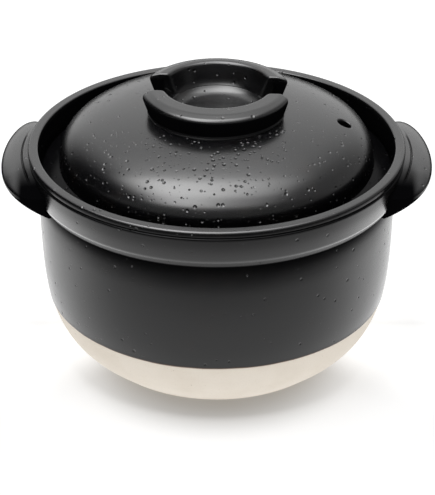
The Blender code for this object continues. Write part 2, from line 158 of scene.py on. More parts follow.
def turned(profile: np.ndarray, columns: int) -> np.ndarray:
    """A profile turned about Z: row i and column j hold (r_i cos a_j, r_i sin a_j, z_i).

    Args:
        profile: (rows, 2) points (r, z).
        columns: Even steps of the angle a in a full turn.

    Returns:
        A (rows, columns, 3) grid.
    """
    return placed(profile[:, :1], round_angles(columns), profile[:, 1:])


def spun(points: np.ndarray, angle: float) -> np.ndarray:
    """Points turned by an angle about the pot's axis."""
    turn = np.array([[math.cos(angle), math.sin(angle)], [-math.sin(angle), math.cos(angle)]])
    return np.concatenate([points[..., :2] @ turn, points[..., 2:]], axis=-1)


def superellipse(angle: np.ndarray, power: float) -> tuple[np.ndarray, np.ndarray]:
    """Points of |x|^n + |y|^n = 1 in the directions of the angles, for the power n."""
    across, up = np.cos(angle), np.sin(angle)
    size = (np.abs(across) ** power + np.abs(up) ** power) ** (-1.0 / power)
    return across * size, up * size


def wave(angle: np.ndarray, tones: tuple[tuple[float, float, float], ...]) -> np.ndarray:
    """A sum of sines round the axis: each tone is (times per turn, amplitude, phase)."""
    return sum(size * np.sin(times * angle + phase) for times, size, phase in tones)


def fade(values: np.ndarray, low: float, high: float) -> np.ndarray:
    """0 up to low, 1 from high on, and an even S between; low may be above high."""
    share = np.clip((values - low) / (high - low), 0.0, 1.0)
    return share * share * (3.0 - 2.0 * share)


class Shell:
    """Grids of points that are joined into one closed mesh."""

    def __init__(self, name: str) -> None:
        """Starts with no grid.

        Args:
            name: The piece's name.
        """
        self.name = name
        self.points: list[np.ndarray] = []
        self.faces: list[np.ndarray] = []
        self.count = 0

    def add(self, grid: np.ndarray, skip: Union[np.ndarray, None] = None) -> None:
        """Adds a grid whose columns close into rings, with a face between each four neighbours.

        Args:
            grid: (rows, columns, 3) points. A row of equal points is a pole.
            skip: Faces to leave out, as a mask of (rows - 1, columns).
        """
        rows, columns = grid.shape[:2]
        number = np.arange(rows * columns).reshape(rows, columns) + self.count
        number = np.concatenate([number, number[:, :1]], axis=1)
        corners = [number[:-1, :-1], number[1:, :-1], number[1:, 1:], number[:-1, 1:]]
        quads = np.stack(corners, axis=-1)
        self.faces.append(quads.reshape(-1, 4) if skip is None else quads[~skip])
        self.points.append(grid.reshape(-1, 3))
        self.count += rows * columns

    def make(self) -> bpy.types.Object:
        """Welds the grids, turns their faces outwards and puts the piece in the scene.

        Returns:
            The piece, at the origin.
        """
        mesh = bpy.data.meshes.new(self.name)
        mesh.from_pydata(np.vstack(self.points).tolist(), [], np.vstack(self.faces).tolist())
        body = bmesh.new()
        body.from_mesh(mesh)
        bmesh.ops.remove_doubles(body, verts=body.verts, dist=2e-6)
        bmesh.ops.recalc_face_normals(body, faces=body.faces)
        body.to_mesh(mesh)
        body.free()
        mesh.shade_smooth()
        piece = bpy.data.objects.new(self.name, mesh)
        bpy.context.scene.collection.objects.link(piece)
        return piece

    def dressed(
        self, body: str, slot: str, node: str, finish: bpy.types.Material, marks: dict[str, Mark],
    ) -> None:
        """Makes the piece, dresses it, and says where it rides and which CAD node it stands for.

        Args:
            body: The CAD body that it moves with.
            slot: The record's material slot of its finish; not used.
            node: The CAD node that it replaces.
            finish: Its material.
            marks: Each attribute that the finish reads, as a function of the mesh's (n, 3) points.
        """
        piece = self.make()
        flat = np.empty(len(piece.data.vertices) * 3, dtype=np.float32)
        piece.data.vertices.foreach_get("co", flat)
        points = flat.reshape(-1, 3).astype(float)
        for name, mark in marks.items():
            layer = piece.data.attributes.new(name, "FLOAT", "POINT")
            layer.data.foreach_set("value", mark(points).astype(np.float32))
        piece.data.materials.append(finish)
        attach(piece, body)
        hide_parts(node)
        log.info("%s: %d faces, for %s on %s", piece.name, len(piece.data.polygons), node, body)


# ---------------------------------------------------------------------------------------------
# Shader maths


Operand = Union["Value", float, tuple]


def math_method(operation: str, swapped: bool = False) -> Callable[["Value", Operand], "Value"]:
    """A method that stands for an operator and adds a Math node.

    Args:
        operation: The node's operation.
        swapped: Whether the other operand comes first.

    Returns:
        The method.
    """
    def method(self: "Value", other: Operand) -> "Value":
        """The node's output, for self and the other operand."""
        return self.math(operation, *((other, self) if swapped else (self, other)))

    return method


class Value:
    """The output of a shader node; the usual operators on it add Math nodes."""

    def __init__(self, nodes: "Nodes", socket: bpy.types.NodeSocket) -> None:
        """Wraps an output socket of a node tree."""
        self.nodes = nodes
        self.socket = socket

    def math(self, operation: str, *operands: Operand) -> "Value":
        """A Math node on the operands, in order."""
        return self.nodes.add("ShaderNodeMath", {"operation": operation}, dict(enumerate(operands)))

    __add__ = math_method("ADD")
    __radd__ = math_method("ADD", swapped=True)
    __sub__ = math_method("SUBTRACT")
    __rsub__ = math_method("SUBTRACT", swapped=True)
    __mul__ = math_method("MULTIPLY")
    __rmul__ = math_method("MULTIPLY", swapped=True)
    __truediv__ = math_method("DIVIDE")
    __pow__ = math_method("POWER")
    __lt__ = math_method("LESS_THAN")

    def beside(self, output: Union[int, str]) -> "Value":
        """Another output of the same node."""
        return Value(self.nodes, self.socket.node.outputs[output])

    def root(self) -> "Value":
        """Square root."""
        return self.math("SQRT", self)

    def turn_from(self, other: Operand) -> "Value":
        """The angle, in degrees, of the point that is at other along and self up."""
        return self.math("ARCTAN2", self, other) * (180.0 / math.pi)

    def or_more(self, other: Operand) -> "Value":
        """The larger of self and other."""
        return self.math("MAXIMUM", self, other)

    def size(self) -> "Value":
        """The value without its sign."""
        return self.math("ABSOLUTE", self)

    def rise(self, low: float, high: float) -> "Value":
        """0 up to low, 1 from high on, and an even S between; low may be above high."""
        return self.nodes.add(
            "ShaderNodeMapRange", {"interpolation_type": "SMOOTHSTEP"},
            {"Value": self, "From Min": low, "From Max": high, "To Min": 0.0, "To Max": 1.0},
        )


def new_material(name: str) -> tuple[bpy.types.Material, "Nodes"]:
    """A material and its emptied tree."""
    material = bpy.data.materials.new(name)
    material.use_nodes = True
    return material, Nodes(material.node_tree)


class Nodes:
    """Adds nodes to one shader tree."""

    def __init__(self, tree: bpy.types.NodeTree) -> None:
        """Empties the tree."""
        self.tree = tree
        tree.nodes.clear()

    def add(self, kind: str, settings: dict, inputs: dict, output: Union[int, str] = 0) -> Value:
        """Adds one node.

        Args:
            kind: The node's type.
            settings: Its own settings, set before its sockets.
            inputs: Numbers, tuples or links, by the socket's name or number.
            output: The name or number of the output to return.

        Returns:
            That output.
        """
        node = self.tree.nodes.new(kind)
        for name, setting in settings.items():
            setattr(node, name, setting)
        for name, operand in inputs.items():
            if isinstance(operand, Value):
                self.tree.links.new(operand.socket, node.inputs[name])
            else:
                node.inputs[name].default_value = operand
        return Value(self, node.outputs[output]) if len(node.outputs) else Value(self, None)

    def place(self) -> Value:
        """Object coordinates, in metres."""
        return self.add("ShaderNodeTexCoord", {}, {}, "Object")

    def split(self, vector: Value) -> tuple[Value, Value, Value]:
        """The x, y and z of a vector."""
        x = self.add("ShaderNodeSeparateXYZ", {}, {0: vector})
        return x, x.beside(1), x.beside(2)

    def joined(self, x: Operand, y: Operand, z: Operand) -> Value:
        """A vector of three values."""
        return self.add("ShaderNodeCombineXYZ", {}, {0: x, 1: y, 2: z})

    def noise(self, place: Value, scale: float, detail: float = 2.0, rough: float = 0.5) -> Value:
        """Cloudy noise from 0 to 1, with 1 / scale metres to a cloud."""
        return self.add(
            "ShaderNodeTexNoise", {},
            {"Vector": place, "Scale": scale, "Detail": detail, "Roughness": rough},
        )

    def mixed(self, share: Operand, low: Operand, high: Operand) -> Value:
        """The colour low where share is 0, high where it is 1."""
        low, high = (end if isinstance(end, Value) else (*end, 1.0) for end in (low, high))
        return self.add("ShaderNodeMix", {"data_type": "RGBA"}, {0: share, 6: low, 7: high}, 2)

    def bumped(self, height: Value) -> Value:
        """The normal that a height over the surface, in metres, gives it."""
        return self.add("ShaderNodeBump", {}, {"Strength": 1.0, "Distance": 1.0, "Height": height})

    def shown(self, surface: Value) -> None:
        """Makes a shader the one that the material shows."""
        self.add("ShaderNodeOutputMaterial", {}, {"Surface": surface})

    def ray(self, kind: str) -> Value:
        """1 for rays of a kind, such as Glossy, else 0."""
        return self.add("ShaderNodeLightPath", {}, {}, "Is " + kind + " Ray")

    def glow(self, strength: Value) -> Value:
        """A white emission."""
        return self.add("ShaderNodeEmission", {}, {"Color": WHITE, "Strength": strength})

    def attribute(self, name: str) -> Value:
        """A number stored on the piece's points."""
        return self.add("ShaderNodeAttribute", {"attribute_name": name}, {}, "Fac")

    def pits(self, place: Value, kind: "Pitting", share: Operand = 1.0) -> Value:
        """Round pits scattered over a surface: 1 in the middle of a pit and 0 outside all.

        Space is divided into cells about points strewn at random. A share of the points carries a
        pit, a ball of the kind's radius times 0.5 to 1, which the surface may cut.

        Args:
            place: Where the surface is.
            kind: The pits' size and spacing, and the largest share of the points with a pit.
            share: How much of that share it is here, from 0 to 1, a number or a value.

        Returns:
            How far down its pit each point is.
        """
        strewn = {"Vector": place, "Scale": 1.0 / kind.cell}
        distance = self.add("ShaderNodeTexVoronoi", {"feature": "F1"}, strewn, "Distance")
        chance, size, _ = self.split(distance.beside("Color"))
        reach = (0.5 + 0.5 * size) * (kind.radius / kind.cell)
        inside = 1.0 - distance / reach
        return inside.rise(0.0, 0.8) * (chance < kind.share * share)


# ---------------------------------------------------------------------------------------------
# Finishes


@dataclass(frozen=True)
class Pitting:
    """Pits of one kind: their mean spacing, largest radius, share of the places, and depth."""

    cell: float
    radius: float
    share: float
    depth: float = 0.0


@dataclass(frozen=True)
class BlackGlaze:
    """Near-black satin glaze with throwing lines under it, thin brown edges and round pits.

    A number called per_m is how many clouds, lines or grains there are to the metre. The pieces'
    points mark where a dull black stands in for shade (painted shade) and where a clear coat brightens
    the reflection (painted sheen).
    """

    name: str
    black: Colour = (0.0020, 0.0020, 0.0023)
    brown: Colour = (0.0052, 0.0034, 0.0024)
    brown_in: Span = (0.50, 0.85)
    brown_share: float = 0.7
    thin: Colour = (0.105, 0.048, 0.022)
    thin_w: Span = (0.0009, 0.0001)
    thin_wander: float = 0.0006
    index: float = 1.56
    roughness: float = 0.25
    cloud_roughness: float = 0.10
    line_roughness: float = 0.06
    pit_roughness: float = 0.10
    coat_roughness: float = 0.20
    # Roughness of the dull black that paints shade.
    painted_shade_roughness: float = 0.9
    throwing_lines: float = 0.000012
    lines_per_m: float = 520.0
    lines_break_per_m: float = 9.0
    wobble: float = 0.00006
    wobbles_per_m: float = 26.0
    clouds_per_m: float = 60.0
    grain: float = 0.0000012
    grains_per_m: float = 1500.0
    large: Pitting = Pitting(0.0034, 0.00135, 0.75, 0.00050)
    small: Pitting = Pitting(0.0024, 0.00070, 0.6, 0.00026)
    pit_share: float = 0.10
    front_pits: float = 0.0
    front: Span = (0.0, -0.06)
    pit_fields_per_m: float = 55.0
    pit_fields: Span = (0.30, 0.55)
    glaze_line: bool = False

    def pit_share_at(self, nodes: Nodes, place: Value, y: Value) -> Operand:
        """How much of the places carries a pit: more, and in fields, towards the front."""
        if not self.front_pits:
            return self.pit_share
        fields = nodes.noise(place, self.pit_fields_per_m).rise(*self.pit_fields)
        return self.pit_share + self.front_pits * y.rise(*self.front) * fields

    def make(self) -> bpy.types.Material:
        """Builds the material.

        Returns:
            The material: satin glaze, and a dull black as painted shade where the piece's points are
                shaded.
        """
        material, nodes = new_material(self.name)
        place = nodes.place()
        x, y, z = nodes.split(place)
        radius = (x * x + y * y).root()
        across = self.lines_break_per_m
        up_the_wall = nodes.joined(x * across, y * across, (z - radius) * self.lines_per_m)
        lines = nodes.noise(up_the_wall, 1.0, 4.0, 0.6)
        broad = nodes.noise(place, self.wobbles_per_m, 2.0)
        cloud = nodes.noise(place, self.clouds_per_m, 4.0, 0.6)
        grain = nodes.noise(place, self.grains_per_m, 2.0)
        share = self.pit_share_at(nodes, place, y)
        pits = nodes.pits(place, self.large, share)
        small = nodes.pits(place, self.small, share)
        height = (
            (lines - 0.5) * self.throwing_lines
            + broad * self.wobble
            + grain * self.grain
            - pits * self.large.depth
            - small * self.small.depth
        )
        tint = nodes.mixed(cloud.rise(*self.brown_in) * self.brown_share, self.black, self.brown)
        if self.glaze_line:
            above = nodes.attribute("above_glaze_line") + (cloud - 0.5) * self.thin_wander
            tint = nodes.mixed(above.rise(*self.thin_w), tint, self.thin)
        satin = nodes.add("ShaderNodeBsdfPrincipled", {}, {
            "Base Color": tint,
            "Roughness": (
                self.roughness + (cloud - 0.5) * self.cloud_roughness
                + (lines - 0.5) * self.line_roughness + pits * self.pit_roughness
            ),
            "IOR": self.index,
            # Painted sheen: the clear coat's weight comes from the points' mark and brightens the
            # reflection.
            "Coat Weight": nodes.attribute("painted_sheen"),
            "Coat Roughness": self.coat_roughness,
            "Normal": nodes.bumped(height),
        })
        # Painted shade: a dull black without reflections, mixed in by the points' shade mark, stands in
        # for shade.
        painted_shade = nodes.add("ShaderNodeBsdfPrincipled", {}, {
            "Base Color": (*self.black, 1.0),
            "Roughness": self.painted_shade_roughness,
            "Specular IOR Level": 0.0,
        })
        shade = nodes.attribute("shade")
        nodes.shown(nodes.add("ShaderNodeMixShader", {}, {0: shade, 1: satin, 2: painted_shade}))
        return material


@dataclass(frozen=True)
class BareClay:
    """Cream fired clay without glaze: sandy grain, fine dark specks and a browned upper edge."""

    name: str
    cream: Colour = (0.822, 0.752, 0.658)
    shade: Colour = (0.700, 0.620, 0.515)
    in_pits: Colour = (0.22, 0.17, 0.12)
    scorched: Colour = (0.270, 0.165, 0.095)
    scorched_w: Span = (0.0006, 0.0001)
    scorched_wander: float = 0.0003
    scorched_share: float = 0.8
    index: float = 1.45
    roughness: float = 0.86
    sand_roughness: float = 0.1
    patches_per_m: float = 45.0
    patches_in: Span = (0.35, 0.75)
    patch_share: float = 0.35
    sand_per_m: float = 900.0
    sand_in: Span = (0.50, 0.75)
    sand_share: float = 0.22
    sand_h: float = 0.00009
    lines_per_m: float = 700.0
    lines_break_per_m: float = 14.0
    line_h: float = 0.00003
    specks: Pitting = Pitting(0.0022, 0.00032, 0.35)
    speck_share: float = 0.55
    holes: Pitting = Pitting(0.0050, 0.00055, 0.30, 0.0003)
    hole_share: float = 0.65

    def make(self) -> bpy.types.Material:
        """Builds the material.

        Returns:
            The material, with one Principled shader.
        """
        material, nodes = new_material(self.name)
        place = nodes.place()
        x, y, z = nodes.split(place)
        across = self.lines_break_per_m
        patches = nodes.noise(place, self.patches_per_m, 3.0)
        sand = nodes.noise(place, self.sand_per_m, 3.0, 0.7)
        lines = nodes.noise(nodes.joined(x * across, y * across, z * self.lines_per_m), 1.0, 3.0)
        specks = nodes.pits(place, self.specks)
        holes = nodes.pits(place, self.holes)
        darker = patches.rise(*self.patches_in) * self.patch_share
        darker = darker + sand.rise(*self.sand_in) * self.sand_share
        tint = nodes.mixed(darker, self.cream, self.shade)
        tint = nodes.mixed(specks * self.speck_share + holes * self.hole_share, tint, self.in_pits)
        below = nodes.attribute("above_glaze_line") * -1.0 + (sand - 0.5) * self.scorched_wander
        tint = nodes.mixed(below.rise(*self.scorched_w) * self.scorched_share, tint, self.scorched)
        height = sand * self.sand_h + lines * self.line_h - holes * self.holes.depth
        nodes.shown(nodes.add("ShaderNodeBsdfPrincipled", {}, {
            "Base Color": tint,
            "Roughness": self.roughness + (sand - 0.5) * self.sand_roughness,
            "IOR": self.index,
            "Normal": nodes.bumped(height),
        }))
        return material


# ---------------------------------------------------------------------------------------------
# The pot


@dataclass(frozen=True)
class PotForm:
    """The thrown pot's sizes, and the curves of its wall that every piece on it follows."""

    height: float = 0.1332
    wall_r: float = 0.1062
    wall_t: float = 0.0088
    foot_r: float = 0.0740
    foot_edge: float = 0.0016
    foot_curve: float = 0.0186
    floor_t: float = 0.0090
    floor_r: float = 0.0580
    floor_curve: float = 0.0140
    neck_in: float = 0.0014
    neck_h: float = 0.0200
    glaze_line_h: float = 0.0388
    glaze_t: float = 0.0003
    lip_h: float = 0.0034
    lip_edge: float = 0.0018
    lip_back: float = 0.0004
    groove_h: float = 0.0010
    groove_depth: float = 0.0016
    band_h: float = 0.0200
    band_out: float = 0.0060
    band_taper: float = 0.0016
    chamfer_h: float = 0.0050
    chamfer_w: float = 0.0032
    collar_t: float = 0.0070
    collar_flare: float = 0.0006
    lid_seat_drop: float = 0.0185
    lid_seat_w: float = 0.0060
    ledge_w: float = 0.0050
    ledge_t: float = 0.0060
    ledge_slope_h: float = 0.0090
    inner_lid_t: float = 0.0070
    lids_apart: float = 0.0040
    touch_gap: float = 0.0003
    lid_play: float = 0.0012
    glaze_wander: tuple[tuple[float, float, float], ...] = (
        (2, 0.00016, 0.7), (5, 0.00010, 2.1), (11, 0.00007, 0.2), (23, 0.00006, 4.0),
        (47, 0.00004, 1.0),
    )

    @property
    def band_r(self) -> float:
        """Outer radius of the band round the collar."""
        return self.wall_r + self.band_out

    @property
    def collar_r(self) -> float:
        """Inner radius of the collar."""
        return self.band_r - self.collar_t

    @property
    def band_top(self) -> float:
        """Height of the band's upper edge."""
        return self.height - self.lip_h - self.groove_h

    @property
    def band_bottom(self) -> float:
        """Height of the band's lower edge."""
        return self.band_top - self.band_h

    @property
    def lid_seat_z(self) -> float:
        """Height of the outer lid's seat."""
        return self.height - self.lid_seat_drop

    @property
    def lid_seat_r(self) -> float:
        """Inner radius of the outer lid's seat."""
        return self.collar_r - self.lid_seat_w

    @property
    def ledge_z(self) -> float:
        """Height of the inner lid's ledge."""
        return self.lid_seat_z - self.inner_lid_t - self.lids_apart

    @property
    def ledge_r(self) -> float:
        """Inner radius of the inner lid's ledge."""
        return self.lid_seat_r - self.ledge_w

    def outside(self, z: np.ndarray) -> np.ndarray:
        """Outer radius of bare clay at a height.

        The full radius, less an even curve towards the foot, (wall - foot) exp(-z / curve), less
        the neck below the band, neck_in t^2, where t climbs from 0 to 1 over the neck.
        """
        foot = (self.wall_r - self.foot_r) * np.exp(-z / self.foot_curve)
        neck = np.maximum(0.0, (z - self.band_bottom + self.neck_h) / self.neck_h)
        return self.wall_r - foot - self.neck_in * neck ** 2

    def inside(self, z: np.ndarray) -> np.ndarray:
        """Inner radius at a height: full - (full - floor) exp(-(z - floor_t) / curve)."""
        full = self.wall_r - self.wall_t
        return full - (full - self.floor_r) * np.exp(-(z - self.floor_t) / self.floor_curve)

    def glaze_edge(self, angle: np.ndarray) -> np.ndarray:
        """Height of the glaze's lower edge round the pot, which wanders a little."""
        return self.glaze_line_h + wave(angle, self.glaze_wander)

    def above_line(self, points: np.ndarray) -> np.ndarray:
        """How far points of the outer wall lie above the glaze's edge; elsewhere 0.1."""
        radius, height = out_and_up(points)
        above = height - self.glaze_edge(np.arctan2(points[:, 1], points[:, 0]))
        return np.where(radius > self.outside(height) - 0.002, above, 0.1)


@dataclass(frozen=True)
class PotBody:
    """The pot, as its glazed part and the bare clay foot below the glaze."""

    form: PotForm
    columns: int = 256
    core: float = 0.0030
    hair: float = 0.00001
    spacing: float = 0.0011
    slack: float = 0.001
    chamfer_edge: float = 0.0005
    groove_edge: float = 0.0003
    seat_root: float = 0.0008
    seat_edge: float = 0.0006
    ledge_edge: float = 0.0010
    first_row: float = 0.0048
    clay_drop: float = 0.00002
    core_gap: float = 0.00005
    rest_in: float = 0.0002
    bead_fall: float = 0.0013
    edge_round: float = 0.0003
    wander_fall: float = 0.004
    # Painted shade: a dull black inside the collar, in the groove and below the band, where shade
    # falls.
    painted_shade: float = 0.85
    painted_shade_by_collar: Span = (0.0014, 0.0009)
    painted_shade_under_lip: Span = (0.0014, 0.0030)
    painted_shade_in_groove: Span = (0.0012, 0.0007)
    painted_shade_below_band: Span = (0.0100, 0.0005)
    below_band_reach: float = 0.0035
    # Painted sheen: a clear coat on the band that brightens its reflection, starting above its chamfer.
    painted_sheen_foot: Span = (0.0030, 0.0055)
    painted_sheen_top: float = 0.002
    painted_sheen_full: float = 0.006

    def wall_rows(self) -> np.ndarray:
        """Heights over the glaze's edge of the glazed wall's rows, closest at the edge."""
        close = [0.0, 0.00004, 0.0001, 0.0002, 0.00035, 0.0006, 0.001, 0.0016, 0.0024, 0.0034]
        top = self.form.band_bottom - self.form.glaze_line_h
        return np.concatenate([close, np.linspace(self.first_row, top, 40)])

    def glazed_wall(self) -> np.ndarray:
        """Grid of the glazed wall from its lower edge to the band.

        The height is the edge's mean height + s + wander exp(-s / 4 mm), for s above the edge.
        The glaze stands glaze_t (1 + 0.5 exp(-(s / 1.3 mm)^2)) proud of the clay, times the round
        of its edge, sqrt(1 - (1 - min(s / 0.3 mm, 1))^2).
        """
        angle = round_angles(self.columns)
        above = self.wall_rows()[:, None]
        wander = self.form.glaze_edge(angle) - self.form.glaze_line_h
        height = self.form.glaze_line_h + above + wander * np.exp(-above / self.wander_fall)
        bead = 1.0 + 0.5 * np.exp(-(above / self.bead_fall) ** 2)
        edge = np.sqrt(1.0 - (1.0 - np.minimum(above / self.edge_round, 1.0)) ** 2)
        radius = self.form.outside(height) + self.form.glaze_t * bead * edge
        return placed(radius, angle, height)

    def collar(self) -> np.ndarray:
        """Outline from the band's lower edge over the lip and down inside to the floor's middle.

        The band's upper corner stays a hair inside the solid's, so that the size is the same.
        """
        form = self.form
        lip_r = form.band_r - form.lip_back
        chamfer_r = form.band_r - form.band_taper
        slope_z = form.ledge_z - form.ledge_t - form.ledge_slope_h
        outline = filleted([
            (float(form.outside(np.array(form.band_bottom))) + form.glaze_t, form.band_bottom, 0.0),
            (chamfer_r - form.chamfer_w, form.band_bottom, self.chamfer_edge),
            (chamfer_r, form.band_bottom + form.chamfer_h, 2.0 * form.lip_edge),
            (form.band_r - self.hair, form.band_top, form.groove_h),
            (form.band_r - form.groove_depth, form.band_top + form.groove_h / 2.0, self.groove_edge),
            (lip_r, form.band_top + form.groove_h, form.lip_edge / 2.0),
            (lip_r, form.height, form.lip_edge),
            (form.collar_r + form.collar_flare, form.height, form.lip_edge / 2.0),
            (form.collar_r, form.lid_seat_z, self.seat_root),
            (form.lid_seat_r, form.lid_seat_z, self.seat_edge),
            (form.lid_seat_r, form.ledge_z, self.seat_edge),
            (form.ledge_r, form.ledge_z, self.seat_edge),
            (form.ledge_r, form.ledge_z - form.ledge_t, self.ledge_edge),
            (float(form.inside(np.array(slope_z))), slope_z, 0.0),
        ])
        down = form.floor_t + (slope_z - form.floor_t) * np.linspace(1.0, 0.0, 44) ** 1.6
        bowl = np.stack([form.inside(down), down], axis=1)
        across = np.linspace(form.floor_r, 0.0, 12)[1:]
        floor = np.stack([across, np.full(len(across), form.floor_t)], axis=1)
        return np.vstack([filled_in(outline, self.spacing), bowl[1:], floor])

    def shade(self, points: np.ndarray) -> np.ndarray:
        """Painted shade, a dull black: inside the collar, in the groove under the lip, below the band.
        """
        form = self.form
        radius, height = out_and_up(points)
        near, far = self.painted_shade_by_collar
        inside = fade(radius, form.collar_r + near, form.collar_r + far)
        near, far = self.painted_shade_under_lip
        inside = inside * fade(height, form.height - near, form.height - far)
        inside = inside * (height > form.lid_seat_z - self.slack)
        from_groove = np.abs(height - form.band_top - form.groove_h / 4.0)
        groove = fade(from_groove, *self.painted_shade_in_groove) * (radius > form.wall_r)
        near, far = self.painted_shade_below_band
        below = fade(height, form.band_bottom - near, form.band_bottom - far)
        below = below * (height < form.band_bottom + self.slack)
        below = below * (np.abs(radius - form.outside(height)) < self.below_band_reach)
        return self.painted_shade * np.maximum(np.maximum(inside, groove), below)

    def painted_sheen(self, points: np.ndarray) -> np.ndarray:
        """Painted sheen: a clear coat that brightens the band's reflection, more towards its lower
        edge.
        """
        form = self.form
        radius, height = out_and_up(points)
        on_band = (radius > form.wall_r + 2.0 * self.slack) & (height < form.band_top)
        low, high = self.painted_sheen_foot
        above_chamfer = fade(height, form.band_bottom + low, form.band_bottom + high)
        top, full = form.band_top - self.painted_sheen_top, form.band_bottom + self.painted_sheen_full
        return on_band * above_chamfer * fade(height, top, full)

    def core_outline(self, sink: float) -> np.ndarray:
        """The hidden face in the wall between the glazed part and the clay foot, downwards."""
        form = self.form
        down = np.linspace(form.glaze_line_h, form.floor_t, 16)
        wall = np.stack([form.inside(down) + self.core + sink, down], axis=1)
        under = form.floor_t - self.core - sink
        return np.vstack([wall, [[form.floor_r, under], [0.0, under]]])

    def glazed(self, finish: bpy.types.Material) -> None:
        """The glazed part: wall, band, lip, both seats and the inside.

        Args:
            finish: The glaze.
        """
        wall = self.glazed_wall()
        core = turned(self.core_outline(0.0), self.columns)
        top = core[:1].copy()
        top[..., 2] = wall[:1, :, 2]
        rows = [turned(self.collar(), self.columns)[::-1], wall[::-1][1:], top, core[1:]]
        shell = Shell("pot_glazed")
        shell.add(np.concatenate(rows))
        shell.dressed("pot", "black_glaze", "pot_body", finish, {
            "above_glaze_line": self.form.above_line,
            "shade": self.shade,
            "painted_sheen": self.painted_sheen,
        })

    def clay_foot(self, finish: bpy.types.Material) -> None:
        """The bare clay foot below the glaze.

        Args:
            finish: The bare clay.
        """
        form = self.form
        angle = round_angles(self.columns)
        share = np.linspace(1.0, 0.0, 60)[:, None] ** 1.4
        wander = (form.glaze_edge(angle) - form.glaze_line_h) * share ** 8
        height = form.foot_edge + (form.glaze_line_h - self.clay_drop - form.foot_edge) * share + wander
        radius = form.outside(height)
        wall = placed(radius, angle, height)
        core = turned(self.core_outline(self.core_gap)[::-1], self.columns)
        top = core[-1:].copy()
        top[..., 2] = wall[:1, :, 2]
        rest_r = float(form.outside(np.array(form.foot_edge)))
        foot = filleted([
            (rest_r, form.foot_edge, 0.0),
            (rest_r - self.rest_in, 0.0, form.foot_edge * 0.8),
            (0.0, 0.0, 0.0),
        ])
        rows = [core[:-1], top, wall, turned(filled_in(foot, 0.006), self.columns)[1:]]
        shell = Shell("pot_clay_foot")
        shell.add(np.concatenate(rows))
        marks = {"above_glaze_line": form.above_line}
        shell.dressed("pot", "bare_clay", "pot_body", finish, marks)


